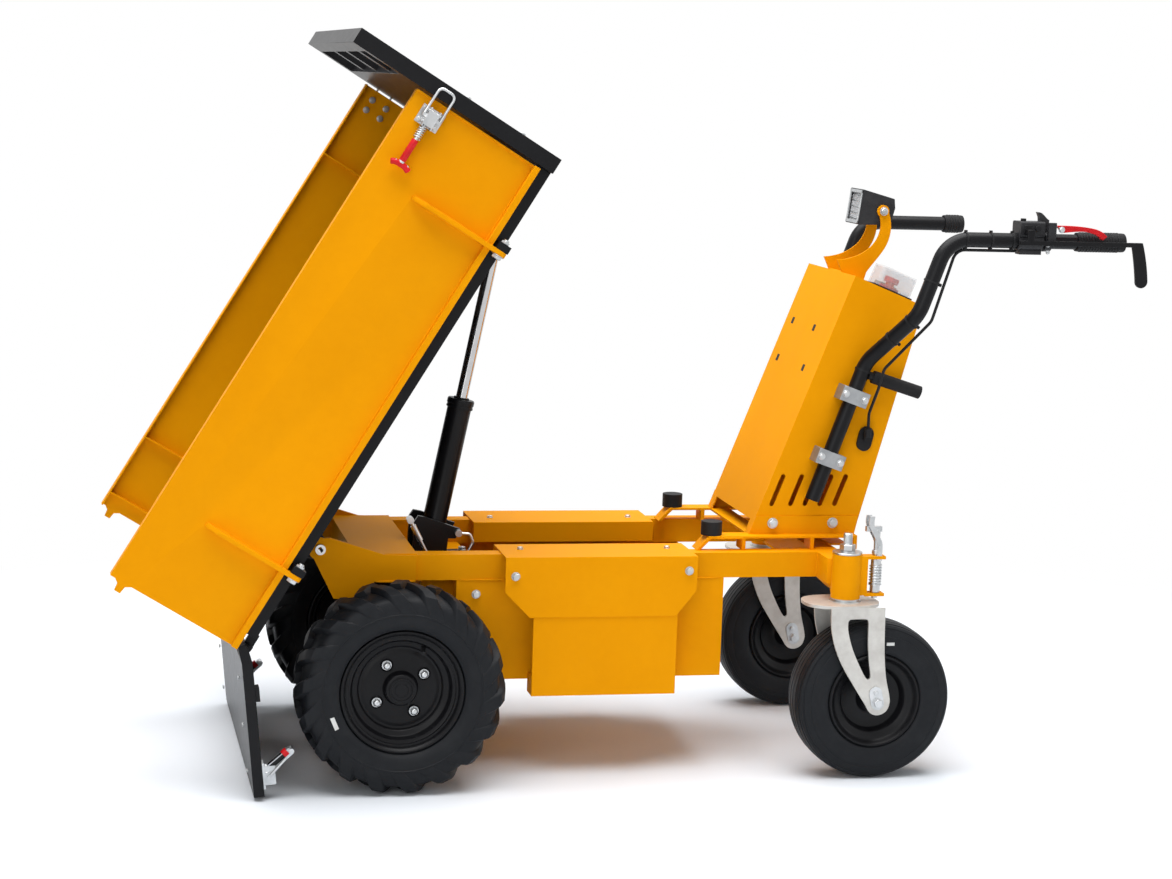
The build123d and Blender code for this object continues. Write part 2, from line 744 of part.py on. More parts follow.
guard_y = (-handle_y - 42, -handle_y - 36)
with BuildPart() as hand_guard:
    slab((pod_x[0] - 7, control_end + 16), guard_y, (handle_z - 6, handle_z + 3))
    slab((pod_x[0] + 8, pod_x[0] + 22), (guard_y[0], -handle_y - 22), (handle_z + 14, handle_z + 24))
    slab((pod_x[0] + 8, pod_x[0] + 22), guard_y, (handle_z - 6, handle_z + 24))
    with BuildSketch(upright(guard_y[1])):
        with BuildLine():
            left = Spline(
                (control_end + 4, handle_z + 3),
                (control_end + 13, handle_z - 42),
                (control_end + 17, handle_z - 72),
            )
            right = Spline(
                (control_end + 43, handle_z - 72),
                (control_end + 39, handle_z - 42),
                (control_end + 28, handle_z + 3),
            )
            ThreePointArc(left @ 1, (control_end + 30, handle_z - 86), right @ 0)
            Line(right @ 1, left @ 0)
        make_face()
    extrude(amount=guard_y[1] - guard_y[0])
write(hand_guard, "hand_guard")

cable_radius = 3
cable_bend = 25
cable_path = (  # x from the drive axle, y out, z
    (pod_x[0] - drive_x - 0.1, handle_y, 1044),
    (1080, handle_y, 1044),
    (1036, handle_y + 3, 903),
    (965, 205, 801),
    (956, 202, 760),
    (950, console_half + 16, 708),
    (950, console_half + 16, cable_end_z + 0.2),
)
with BuildPart() as control_cable:
    with BuildLine() as cable_line:
        FilletPolyline(*[(drive_x + x, -y, z) for x, y, z in cable_path], radius=cable_bend)
    with BuildSketch(Plane(origin=cable_line.line @ 0, z_dir=cable_line.line % 0)):
        Circle(cable_radius)
    sweep()
write(control_cable, "control_cable")

# sprung pins that lock the swivels
with BuildPart() as swivel_locks:
    for side, sign in SIDES:
        at = (swivel_x + 60, sign * caster_y)
        for z, top, radius in (
            (fork_top_z[1] + 5, 494, 6),
            (barrel_z[0] + 11, barrel_z[1] - 11, 10),
            (barrel_z[1] - 4 + 3, barrel_z[1] + 6, 9),
        ):
            with BuildSketch(Plane.XY.offset(z)):
                with Locations(at):
                    Circle(radius)
            extrude(amount=top - z)
        slab((at[0] - 24, at[0] + 8), both(sign, caster_y - 5, caster_y + 5), (490, 500))
write(swivel_locks, "swivel_locks")

# ------------------------------------------------------------------ bed
tip_lug_y = (190, 200)
tip_pin_y = (186, 219)
tip_pin_bore = 5.5
ram_lug_y = (13, 19)
gate_lug_y = (318, 326)
lug_length = 14
tip_lug_radius = 19
cross_beams = (bed_low_s, 130, 440, ram_eye_s - 15, bed_high_s - beam_width)

with BuildPart() as platform:
    box_on(bed_view, (bed_low_s, bed_high_s), (-bed_half, bed_half), (beam_h[1] - sheet, beam_h[1]))
    for y in (-bed_half, -tip_lug_y[1] - 15, tip_lug_y[1] - 15, bed_half - beam_width):
        box_on(bed_view, (bed_low_s, bed_high_s), (y, y + beam_width), beam_h)
    for s in cross_beams:
        box_on(bed_view, (s, s + beam_width), (-bed_half, bed_half), beam_h)
    for side, sign in SIDES:
        # the lug that holds the tipping pin
        with BuildSketch(bed_view(max(both(sign, *tip_lug_y)))):
            Polygon((-38, beam_h[0] + 2), (-17, -8), (17, -8), (38, beam_h[0] + 2), align=None)
            Circle(tip_lug_radius)
            Circle(tip_pin_radius, mode=Mode.SUBTRACT)
        extrude(amount=tip_lug_y[1] - tip_lug_y[0])
        # lugs either side of the rod's eye
        with BuildSketch(bed_view(max(both(sign, *ram_lug_y)))):
            with Locations((ram_eye_s, 0)):
                Polygon((-30, beam_h[0] + 2), (-20, -18), (20, -18), (30, beam_h[0] + 2), align=None)
        extrude(amount=ram_lug_y[1] - ram_lug_y[0])
        with BuildSketch(bed_view(max(both(sign, ram_lug_y[1], ram_lug_y[1] + 8)))):
            with Locations((ram_eye_s, 0)):
                Circle(14)
        extrude(amount=8)
        # the tailgate's lugs and pins
        box_on(bed_view, (gate_hinge_s, bed_low_s + 1), both(sign, *gate_lug_y), (gate_hinge_h - 10, 50))
        with BuildSketch(bed_view(max(both(sign, *gate_lug_y)))):
            with Locations((gate_hinge_s, gate_hinge_h)):
                Circle(11)
        extrude(amount=gate_lug_y[1] - gate_lug_y[0])
        with BuildSketch(bed_view(max(both(sign, gate_lug_y[0], gate_half - 12)))):
            with Locations((gate_hinge_s, gate_hinge_h)):
                Circle(gate_pin)
        extrude(amount=gate_half - 12 - gate_lug_y[0])
        # the drop side's lugs, pins and pin heads
        for s in strap_s:
            lug_s = s + strap_width / 2 + weld_gap
            lug_h = (hinge_h - 13, hinge_h + 12)
            box_on(bed_view, (lug_s, lug_s + lug_length), both(sign, bed_half - 1, hinge_y + 11), lug_h)
            with BuildSketch(bed_end(s - strap_width / 2 - weld_gap - 6)):
                with Locations((sign * hinge_y, hinge_h)):
                    RegularPolygon(9, 6)
            extrude(amount=6)
            with BuildSketch(bed_end(s - strap_width)):
                with Locations((sign * hinge_y, hinge_h)):
                    Circle(6)
            extrude(amount=2 * strap_width)
write(platform, "platform")

with BuildPart() as tip_pins:
    for side, sign in SIDES:
        with BuildSketch(bed_view(max(both(sign, *tip_pin_y)))):
            Circle(tip_pin_radius)
            Circle(tip_pin_bore, mode=Mode.SUBTRACT)
        extrude(amount=tip_pin_y[1] - tip_pin_y[0])
write(tip_pins, "tip_pins")

guard_bars = (-194, 0, 194)
guard_low_h = 372
with BuildPart() as headboard:
    back = (bed_high_s, bed_high_s + headboard_thick)
    for h in (beam_h[0], guard_low_h - 30, headboard_top_h - 30):
        box_on(bed_view, back, (-headboard_half, headboard_half), (h, h + 30))
    for side, sign in SIDES:
        box_on(bed_view, back, both(sign, headboard_half - 30, headboard_half), (beam_h[0], headboard_top_h))
    box_on(bed_view, (back[0], back[0] + sheet), (-headboard_half, headboard_half), (beam_h[0], guard_low_h))
    for y in guard_bars:
        box_on(bed_view, (back[0] + 5, back[1] - 5), (y - 15, y + 15), (guard_low_h - 1, headboard_top_h - 29))
write(headboard, "headboard")

# ------------------------------------------------------------------ drop sides
wall_y = (bed_half + wall_gap, bed_half + wall_gap + sheet)
rim_y = wall_y[1] + 14
fold = 20
clear_h = beam_h[1] + 5  # folds that turn in over the floor start here
rib_s = (bed_low_s - 1, *[s - sheet / 2 for s in strap_s])
hook_outline = ((0, 322), (-6, 314), (-20, 312), (-20, 300), (-6, 298), (0, 288))  # s from the wall's edge, h
wall_s = (wall_low_s, wall_high_s)

for side, sign in SIDES:
    with BuildPart() as side_panel:
        fold_y = both(sign, wall_y[0] - fold, wall_y[0])
        edge_y = both(sign, wall_y[1], wall_y[1] + 6)
        box_on(bed_view, wall_s, both(sign, *wall_y), (beam_h[1] - 6, wall_top_h))
        box_on(bed_view, wall_s, both(sign, wall_y[1], rim_y), (beam_h[1] - 6, beam_h[1] + 6))
        box_on(bed_view, wall_s, fold_y, (wall_top_h - sheet, wall_top_h))
        box_on(bed_view, (wall_high_s - sheet, wall_high_s), edge_y, (beam_h[1], wall_top_h))
        for s in rib_s:
            box_on(bed_view, (s, s + sheet), fold_y, (clear_h, wall_top_h))
        # the hook that holds the shut tailgate
        with BuildSketch(bed_view(max(both(sign, *wall_y)))):
            Polygon(*[(wall_low_s + s, h) for s, h in hook_outline], align=None)
        extrude(amount=sheet)
        for s in strap_s:
            with BuildSketch(bed_end(s - strap_width / 2)):
                strap = [
                    (wall_y[1], strap_top_h),
                    (wall_y[1] + 9, strap_top_h),
                    (hinge_y + 12, strap_top_h - 25),
                    (hinge_y + hinge_eye, hinge_h),
                    (hinge_y - hinge_eye, hinge_h),
                ]
                Polygon(*[(sign * y, h) for y, h in strap], align=None)
                with Locations((sign * hinge_y, hinge_h)):
                    Circle(hinge_eye)
                    Circle(6 + weld_gap, mode=Mode.SUBTRACT)
            extrude(amount=strap_width)
    write(side_panel, f"side_panel_{side}")

    # toggle latch against the headboard's edge
    latch_y = wall_y[1] + 14
    bail_y = headboard_half + 8
    with BuildPart() as side_latch:
        box_on(bed_view, (770, 806), both(sign, wall_y[1], wall_y[1] + 3), (262, 308))
        box_on(bed_view, (772, 800), both(sign, wall_y[1] + 3, bail_y + 4), (276, 294))
        with BuildLine() as bail:
            FilletPolyline(
                bed_point(788, sign * bail_y, 268),
                bed_point(845, sign * bail_y, 268),
                bed_point(845, sign * bail_y, 301),
                bed_point(788, sign * bail_y, 301),
                radius=10,
            )
        with BuildSketch(Plane(origin=bail.line @ 0, z_dir=bail.line % 0)):
            Circle(2.6)
        sweep()
        box_on(bed_view, (785, 791), both(sign, bail_y - 2.6, bail_y + 2.6), (266, 303))
        with BuildSketch(Plane(origin=bed_point(774, sign * latch_y, 288), z_dir=-bed_along)):
            Circle(4)
        extrude(amount=86)
        with BuildSketch(Plane(origin=bed_point(738, sign * latch_y, 288), z_dir=-bed_along)):
            Circle(6)
        extrude(amount=46)
        with BuildSketch(Plane(origin=bed_point(690, sign * latch_y, 273), z_dir=bed_up)):
            Circle(5)
        extrude(amount=27)
    write(side_latch, f"side_latch_{side}")

# ------------------------------------------------------------------ tailgate
gate_turn = radians(90 + tip_angle + gate_open)
gate_along = Vector(cos(gate_turn), 0, sin(gate_turn))
gate_out = Vector(-sin(gate_turn), 0, cos(gate_turn))
gate_at = bed_point(gate_hinge_s, 0, gate_hinge_h)
gate_outer = gate_hinge_s - gate_face_s
gate_inner = gate_outer - gate_thick


def gate_view(y=0):
    """The tailgate's side view at y: along it from the hinge, then out of its outer face."""
    return Plane(origin=gate_at + Vector(0, y, 0), x_dir=gate_along, z_dir=(0, -1, 0))


gate_kink = 25  # above this the stiles lean in towards the hinge
gate_lean = 7
stile_outline = (  # along from the hinge, out of the outer face
    (gate_reach, gate_inner),
    (gate_kink, gate_inner),
    (-11, gate_inner - gate_lean + 2),
    (-11, gate_outer - gate_lean - 3),
    (-4, gate_outer - gate_lean + 1),
    (gate_kink, gate_outer),
    (gate_reach, gate_outer),
)
stile_y = (gate_half - 30, gate_half)
bump_reach = (72, 100)
bump_thick = 8
bump_y = (gate_half - 26, gate_half - 4)

with BuildPart() as tailgate:
    for side, sign in SIDES:
        with BuildSketch(gate_view(max(both(sign, *stile_y)))):
            Polygon(*stile_outline, align=None)
        extrude(amount=stile_y[1] - stile_y[0])
        with BuildSketch(gate_view(max(both(sign, stile_y[0] - 1, stile_y[1] - 11)))):
            Circle(gate_pin + weld_gap)
        extrude(amount=stile_y[1] - stile_y[0] - 10, mode=Mode.SUBTRACT)
    for a in (gate_kink, gate_reach - 25):
        box_on(gate_view, (a, a + 25), (-stile_y[0], stile_y[0]), (gate_inner, gate_outer))
    box_on(gate_view, (gate_kink, gate_reach), (-stile_y[0], stile_y[0]), (gate_inner, gate_inner + sheet))
write(tailgate, "tailgate")

with BuildPart() as gate_bumps:
    for side, sign in SIDES:
        box_on(gate_view, bump_reach, both(sign, *bump_y), (gate_outer, gate_outer + bump_thick))
write(gate_bumps, "gate_bumps")

# toggle latches: a base plate, an upright body and a lever that points up and away
latch_reach = (218, 268)
latch_width = (332, 358)
lever_outline = ((242, 20), (208, 66), (196, 58), (228, 12))  # along, out
with BuildPart() as gate_latches:
    for side, sign in SIDES:
        box_on(gate_view, latch_reach, both(sign, *latch_width), (gate_outer, gate_outer + 4))
        box_on(gate_view, (226, 262), both(sign, 337, 353), (gate_outer + 3, gate_outer + 24))
        with BuildSketch(gate_view(max(both(sign, 339, 351)))):
            Polygon(*lever_outline, align=None)
        extrude(amount=12)
        with BuildSketch(gate_view(max(both(sign, 333, 357)))):
            with Locations((202, 62)):
                Circle(5)
        extrude(amount=24)
write(gate_latches, "gate_latches")

# ------------------------------------------------------------------ cylinder
ram_eye_at = bed_point(ram_eye_s, 0, 0)
ram_base_at = Vector(ram_base_x, 0, ram_base_z)
ram_length = (ram_eye_at - ram_base_at).length
ram_along = (ram_eye_at - ram_base_at).normalized()


def ram_view(y=0):
    """The cylinder's side view at y: along it from the base pin, facing -Y."""
    return Plane(origin=ram_base_at + Vector(0, y, 0), x_dir=ram_along, z_dir=(0, -1, 0))


def ram_section(t):
    """A section across the cylinder at t from its base pin."""
    return Plane(origin=ram_base_at + ram_along * t, x_dir=(0, 1, 0), z_dir=ram_along)


ram_eye_half = ram_cheek[0] - 0.5
with BuildPart() as cylinder_barrel:
    with BuildSketch(ram_section(12)):
        Circle(barrel_radius)
    extrude(amount=barrel_length - 12)
    with BuildSketch(ram_section(barrel_length - 18)):
        Circle(barrel_radius + 2)
    extrude(amount=18)
    with BuildSketch(ram_view(ram_eye_half)):
        Circle(17)
    extrude(amount=2 * ram_eye_half)
    with BuildSketch(ram_view(ram_eye_half)):
        Circle(ram_pin_radius + weld_gap)
    extrude(amount=2 * ram_eye_half, mode=Mode.SUBTRACT)
    with BuildSketch(ram_section(24)):
        Circle(rod_radius + weld_gap)
    extrude(amount=barrel_length, mode=Mode.SUBTRACT)
write(cylinder_barrel, "cylinder_barrel")

rod_foot = 204
with BuildPart() as cylinder_rod:
    with BuildSketch(ram_section(rod_foot)):
        Circle(rod_radius)
    extrude(amount=ram_length - rod_foot)
    with BuildSketch(ram_view(ram_lug_y[0] - 0.5)):
        with Locations((ram_length, 0)):
            Circle(ram_eye_radius)
    extrude(amount=2 * ram_lug_y[0] - 1)
    with BuildSketch(ram_view(ram_lug_y[0])):
        with Locations((ram_length, 0)):
            Circle(9)
    extrude(amount=2 * ram_lug_y[0], mode=Mode.SUBTRACT)
write(cylinder_rod, "cylinder_rod")

# ------------------------------------------------------------------ drive wheels
drive_casing = (  # out from the centre plane, radius, from the bead to the crown
    (40, bead_radius),
    (40, rim_radius + 1),
    (54, 121),
    (drive_width / 2 - 2, 155),
    (48, drive_radius - lug_depth - 4),
    (0, drive_radius - lug_depth),
)
drive_rim_outline = (
    (-50, rim_radius - 2),
    (-46, rim_radius),
    (-41, rim_radius),
    (-41, bead_radius - weld_gap),
    (41, bead_radius - weld_gap),
    (41, rim_radius),
    (46, rim_radius),
    (50, rim_radius - 2),
    (47, bead_radius - 5),
    (10, bead_radius - 9),
    (10, 31),
    (30, 31),
    (33, 27),
    (33, 0),
    (22, 0),
    (22, stub_radius + weld_gap),
    (-20, stub_radius + weld_gap),
    (-20, 31),
    (4, 31),
    (4, bead_radius - 9),
    (-47, bead_radius - 5),
)


def wheel_view(x, y, z):
    """A wheel's half section: y across from its centre plane, radius up."""
    return Plane(origin=(x, y, z), x_dir=(0, 1, 0), z_dir=(1, 0, 0))


def tyre_casing(axle, half):
    """A tyre's casing in flats round its axle, from half of its section."""
    section = [(w, r) for w, r in half] + [(-w, r) for w, r in reversed(half) if w]
    rings = []
    for w, r in section:
        reach = r / cos(radians(180 / tyre_flats))
        turns = [radians(270 + (i + 0.5) * 360 / tyre_flats) for i in range(tyre_flats)]
        rings.append([Vector(axle) + Vector(reach * cos(turn), w, reach * sin(turn)) for turn in turns])
    faces = []
    for here, there in zip(rings, rings[1:] + rings[:1]):
        for i in range(tyre_flats):
            faces.append(Face(Wire.make_polygon((here[i - 1], here[i], there[i], there[i - 1]))))
    return Solid(Shell(faces))


lug_corner = drive_radius / cos(radians(90 / lug_count))  # the flats between lugs' corners stand on the ground
lug_crown = (lug_corner**2 - (lug_sweep / 2 + lug_tip / 2) ** 2) ** 0.5
lug_side = (  # out from the centre plane, radius
    (-3, lug_crown),
    (50, lug_crown),
    (drive_width / 2, 168),
    (drive_width / 2, 150),
    (-3, 150),
)


def tread_lug(axle, face):
    """One lug on the face's half of the tread, standing at the top of the tyre."""
    with BuildPart(mode=Mode.PRIVATE) as lug:
        with BuildSketch(Plane.XY.offset(axle.Z + 150)):
            with Locations((axle.X, axle.Y)):
                Polygon(
                    (lug_sweep / 2 + lug_root / 2, face * (drive_width / 2 + 1)),
                    (lug_sweep / 2 - lug_root / 2, face * (drive_width / 2 + 1)),
                    (-lug_sweep / 2 - lug_tip / 2, -face * 3),
                    (-lug_sweep / 2 + lug_tip / 2, -face * 3),
                    align=None,
                )
        extrude(amount=drive_radius)
        with BuildSketch(wheel_view(*axle)) as outline:
            Polygon(*[(face * w, r) for w, r in lug_side], align=None)
        extrude(outline.sketch, amount=drive_radius, both=True, mode=Mode.INTERSECT)
    return lug.part


for side, sign in SIDES:
    axle = Vector(drive_x, sign * drive_y, drive_radius)
    with BuildPart() as drive_tyre:
        add(tyre_casing(axle, drive_casing))
        corner = 90 - degrees(atan2(lug_sweep / 2 + lug_tip / 2, lug_crown))
        for face in (-1, 1):
            lug = tread_lug(axle, face)
            turns = [(i + face / 4) * 360 / lug_count + corner for i in range(lug_count)]
            add([lug.rotate(Axis(axle, (0, 1, 0)), turn) for turn in turns])
    write(drive_tyre, f"drive_tyre_{side}")

    with BuildPart() as drive_rim:
        with BuildSketch(wheel_view(*axle)):
            Polygon(*[(sign * w, r) for w, r in drive_rim_outline], align=None)
        revolve(axis=Axis(axle, (0, 1, 0)))
    write(drive_rim, f"drive_rim_{side}")

# ------------------------------------------------------------------ casters
fork_y = (52, 57)  # each leg, out from the caster's centre plane
axle_bolt = 8
fork_leg = (  # x from the drive axle, z
    (834, fork_top_z[1]),
    (942, fork_top_z[1]),
    (966, 170),
    (915, 170),
    (877, 243),
)
fork_cut = ((873, 311), (910, 311), (918, 222))
caster_casing = (
    (33, caster_bead_radius),
    (33, caster_rim_radius + 1),
    (43, 98),
    (caster_width / 2, 130),
    (42, 148),
    (28, caster_radius),
)
caster_rim_outline = (
    (-40, caster_rim_radius),
    (-34, caster_rim_radius),
    (-34, caster_bead_radius - weld_gap),
    (34, caster_bead_radius - weld_gap),
    (34, caster_rim_radius),
    (40, caster_rim_radius),
    (42, caster_rim_radius - 3),
    (37, caster_bead_radius - 5),
    (3, caster_bead_radius - 9),
    (3, 22),
    (49, 22),
    (49, axle_bolt + weld_gap),
    (-49, axle_bolt + weld_gap),
    (-49, 22),
    (-3, 22),
    (-3, caster_bead_radius - 9),
    (-37, caster_bead_radius - 5),
    (-42, caster_rim_radius - 3),
)

for side, sign in SIDES:
    hub = (swivel_x + trail, sign * caster_y, caster_radius)
    swivel = (swivel_x, sign * caster_y)
    with BuildPart() as caster_fork:
        with BuildSketch(Plane.XY.offset(fork_top_z[0])):
            with Locations(swivel):
                RectangleRounded(172, 2 * fork_y[1], 30)
        extrude(amount=fork_top_z[1] - fork_top_z[0])
        for z, top, radius in (
            (fork_top_z[1] - 1, barrel_z[0] - weld_gap, 27),
            (fork_top_z[1] - 1, barrel_z[1] + 20, stem_radius),
            (barrel_z[1] + weld_gap, barrel_z[1] + 7, barrel_outer),
        ):
            with BuildSketch(Plane.XY.offset(z)):
                with Locations(swivel):
                    Circle(radius)
            extrude(amount=top - z)
        with BuildSketch(Plane.XY.offset(barrel_z[1] + 6)):
            with Locations(swivel):
                RegularPolygon(16, 6)
        extrude(amount=14)
        with BuildSketch(Plane.XY.offset(barrel_z[1] + 19)):
            with Locations(swivel):
                Circle(9)
        extrude(amount=22)
        for leg in (-1, 1):
            leg_y = sorted(sign * caster_y + leg * y for y in fork_y)
            with BuildSketch(upright(leg_y[1])):
                Polygon(*[(drive_x + x, z) for x, z in fork_leg], align=None)
                with Locations((hub[0], hub[2])):
                    Circle(26)
                Polygon(*[(drive_x + x, z) for x, z in fork_cut], align=None, mode=Mode.SUBTRACT)
            extrude(amount=fork_y[1] - fork_y[0])
        with BuildSketch(upright(sign * caster_y + fork_y[1] + 8)):
            with Locations((hub[0], hub[2])):
                Circle(axle_bolt)
        extrude(amount=2 * (fork_y[1] + 8))
    write(caster_fork, f"caster_fork_{side}")

    with BuildPart() as caster_tyre:
        add(tyre_casing(hub, caster_casing))
    write(caster_tyre, f"caster_tyre_{side}")

    with BuildPart() as caster_rim:
        with BuildSketch(wheel_view(*hub)):
            Polygon(*caster_rim_outline, align=None)
        revolve(axis=Axis(hub, (0, 1, 0)))
    write(caster_rim, f"caster_rim_{side}")
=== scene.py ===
"""The dressed tipping dumper: paint, plating, rubber, tread, fasteners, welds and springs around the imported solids.

Lengths inside the classes are millimetres. A Form measures from the drive axle, on the ground, with +X towards the
operator's handles, +Z up and -Y on the side called left. On BED it measures from the tipping pin, along the floor and
up from it, and on GATE from the tailgate's hinge, along the tailgate and out from its face.
"""

import json
import logging
import math
from dataclasses import dataclass
from enum import Enum
from typing import Any, Callable, Iterable, Sequence

import bmesh
import bpy
from mathutils import Matrix, Vector


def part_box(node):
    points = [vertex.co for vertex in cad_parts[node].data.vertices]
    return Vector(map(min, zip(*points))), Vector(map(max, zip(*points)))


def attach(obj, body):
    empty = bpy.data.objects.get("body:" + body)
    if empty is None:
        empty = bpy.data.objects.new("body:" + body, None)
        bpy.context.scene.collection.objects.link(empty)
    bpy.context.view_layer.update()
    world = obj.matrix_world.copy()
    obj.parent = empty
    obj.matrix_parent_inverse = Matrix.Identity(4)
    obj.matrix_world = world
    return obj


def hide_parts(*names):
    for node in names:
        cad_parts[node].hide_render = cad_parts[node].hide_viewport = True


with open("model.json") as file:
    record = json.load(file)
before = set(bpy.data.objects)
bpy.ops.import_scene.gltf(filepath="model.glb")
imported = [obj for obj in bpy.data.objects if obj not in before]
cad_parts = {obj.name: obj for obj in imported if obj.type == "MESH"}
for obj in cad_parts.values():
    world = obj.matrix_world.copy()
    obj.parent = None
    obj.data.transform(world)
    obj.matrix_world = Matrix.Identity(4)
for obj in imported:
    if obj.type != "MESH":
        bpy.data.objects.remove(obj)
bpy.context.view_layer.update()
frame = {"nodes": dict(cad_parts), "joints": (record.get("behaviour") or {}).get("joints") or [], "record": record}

log = logging.getLogger("dumper")

MM = 0.001
Colour = tuple[float, float, float]
Point = Sequence[float]
Points = tuple[Point, ...]


# ---------- sockets and shaders
class Signal:
    """A node's output socket whose arithmetic adds Math nodes to its tree."""

    def __init__(self, nodes: "Nodes", socket: bpy.types.NodeSocket) -> None:
        """Wrap an output socket that carries one number."""
        self.nodes = nodes
        self.socket = socket

    def _math(self, operation: str, first: Any, second: Any) -> "Signal":
        """Add a Math node.

        Args:
            operation: the node's operation.
            first: a number or a Signal.
            second: a number or a Signal.

        Returns:
            The node's value.
        """
        node = self.nodes.node("ShaderNodeMath", {"operation": operation})
        for slot, value in zip(node.inputs, (first, second)):
            self.nodes.feed(slot, value)
        return Signal(self.nodes, node.outputs[0])

    def __add__(self, other: Any) -> "Signal":
        """The sum."""
        return self._math("ADD", self, other)

    def __radd__(self, other: Any) -> "Signal":
        """The sum, number first."""
        return self._math("ADD", other, self)

    def __mul__(self, other: Any) -> "Signal":
        """The product."""
        return self._math("MULTIPLY", self, other)

    def __rmul__(self, other: Any) -> "Signal":
        """The product, number first."""
        return self._math("MULTIPLY", other, self)

    def __pow__(self, other: Any) -> "Signal":
        """The power."""
        return self._math("POWER", self, other)

    def clamp(self) -> "Signal":
        """The value kept between 0 and 1."""
        return self._math("MAXIMUM", self._math("MINIMUM", self, 1.0), 0.0)


class Nodes:
    """A node tree under construction."""

    def __init__(self, tree: bpy.types.NodeTree) -> None:
        """Wrap a material's or a world's tree."""
        self.tree = tree

    def node(self, kind: str, settings: dict[str, Any] | None = None, **sockets: Any) -> bpy.types.Node:
        """Add a node.

        Args:
            kind: the node's type.
            settings: properties that are set before the sockets.
            **sockets: values or links by socket name, with underscores for spaces.

        Returns:
            The node.
        """
        node = self.tree.nodes.new(kind)
        for name, value in (settings or {}).items():
            setattr(node, name, value)
        for name, value in sockets.items():
            self.feed(node.inputs[name.replace("_", " ")], value)
        return node

    def feed(self, slot: bpy.types.NodeSocket, value: Any) -> None:
        """Set or link an input socket.

        Args:
            slot: the input.
            value: a number, a colour, a Signal or an output socket.
        """
        if isinstance(value, Signal):
            self.tree.links.new(value.socket, slot)
        elif isinstance(value, bpy.types.NodeSocket):
            self.tree.links.new(value, slot)
        elif isinstance(value, tuple) and len(value) == 3 and slot.type == "RGBA":
            slot.default_value = (*value, 1.0)
        else:
            slot.default_value = value

    def background_ray(self) -> Signal:
        """Tell the rays that show the bare background from those that carry light.

        Returns:
            1 for a ray of the camera, a gloss or a clear piece, and 0 for the others.
        """
        path = self.node("ShaderNodeLightPath")
        camera, glossy, clear = (
            Signal(self, path.outputs[f"Is {kind} Ray"]) for kind in ("Camera", "Glossy", "Transmission")
        )
        return (camera + glossy + clear).clamp()

    def switch(self, factor: Signal, first: bpy.types.Node, second: bpy.types.Node) -> bpy.types.NodeSocket:
        """Mix two shaders.

        Args:
            factor: 0 gives the first shader, 1 the second.
            first: a shader node.
            second: a shader node.

        Returns:
            The mixed shader.
        """
        mix = self.node("ShaderNodeMixShader")
        for slot, value in zip(mix.inputs, (factor, first.outputs[0], second.outputs[0])):
            self.feed(slot, value)
        return mix.outputs[0]


class Shader(Nodes):
    """A material under construction around one Principled shader."""

    def __init__(self, name: str) -> None:
        """Start a material.

        Args:
            name: the material's name.
        """
        self.material = bpy.data.materials.new(name)
        self.material.use_nodes = True
        super().__init__(self.material.node_tree)
        self.surface = self.tree.nodes["Principled BSDF"]
        self.place = self.node("ShaderNodeTexCoord").outputs["Object"]

    def noise(self, scale: float, detail: float = 2.0, roughness: float = 0.5, stretch: Point = (1, 1, 1)) -> Signal:
        """Three-dimensional noise over the object's own coordinates.

        Args:
            scale: how many cells there are in a metre.
            detail: how many finer layers are added.
            roughness: how strong the finer layers are.
            stretch: the scale along each axis.

        Returns:
            A value from 0 to 1.
        """
        where = self.node("ShaderNodeMapping", Vector=self.place, Scale=stretch).outputs[0]
        node = self.node("ShaderNodeTexNoise", Vector=where, Scale=scale, Detail=detail, Roughness=roughness)
        return Signal(self, node.outputs[0])

    def spread(self, value: Signal, low: float, high: float, start: float = 0.0, end: float = 1.0) -> Signal:
        """Map a value's range onto another, clamped.

        Args:
            value: what is mapped.
            low: where the output starts to change.
            high: where it stops.
            start: the output below low.
            end: the output above high.

        Returns:
            The mapped value.
        """
        limits = {"From_Min": low, "From_Max": high, "To_Min": start, "To_Max": end}
        return Signal(self, self.node("ShaderNodeMapRange", Value=value, **limits).outputs[0])

    def blend(self, factor: Signal, first: Any, second: Any) -> bpy.types.NodeSocket:
        """Mix two colours.

        Args:
            factor: 0 gives the first colour, 1 the second.
            first: a colour or a link.
            second: a colour or a link.

        Returns:
            The mixed colour.
        """
        node = self.node("ShaderNodeMix", {"data_type": "RGBA"})
        for number, value in ((0, factor), (6, first), (7, second)):
            self.feed(node.inputs[number], value)
        return node.outputs[2]

    def bump(self, height: Signal, depth: float) -> None:
        """Feed the shader's normal from a height of 0 to 1, where 1 stands for the depth in metres."""
        node = self.node("ShaderNodeBump", Strength=1.0, Distance=depth, Height=height)
        self.feed(self.surface.inputs["Normal"], node.outputs[0])

    def set(self, **sockets: Any) -> None:
        """Set the Principled shader's sockets by name, with underscores for spaces."""
        for name, value in sockets.items():
            self.feed(self.surface.inputs[name.replace("_", " ")], value)


# ---------- finishes
@dataclass(frozen=True)
class Finish:
    """A finish that is made once and then shared by its pieces."""

    name: str
    slot: str
    colour: Colour

    def dress(self, shader: Shader) -> None:
        """Fill in the shader; each finish does its own."""
        raise NotImplementedError

    def material(self) -> bpy.types.Material:
        """Make the material at its first use.

        Returns:
            The finish's material.
        """
        found = bpy.data.materials.get(self.name)
        if found:
            return found
        shader = Shader(self.name)
        self.dress(shader)
        return shader.material


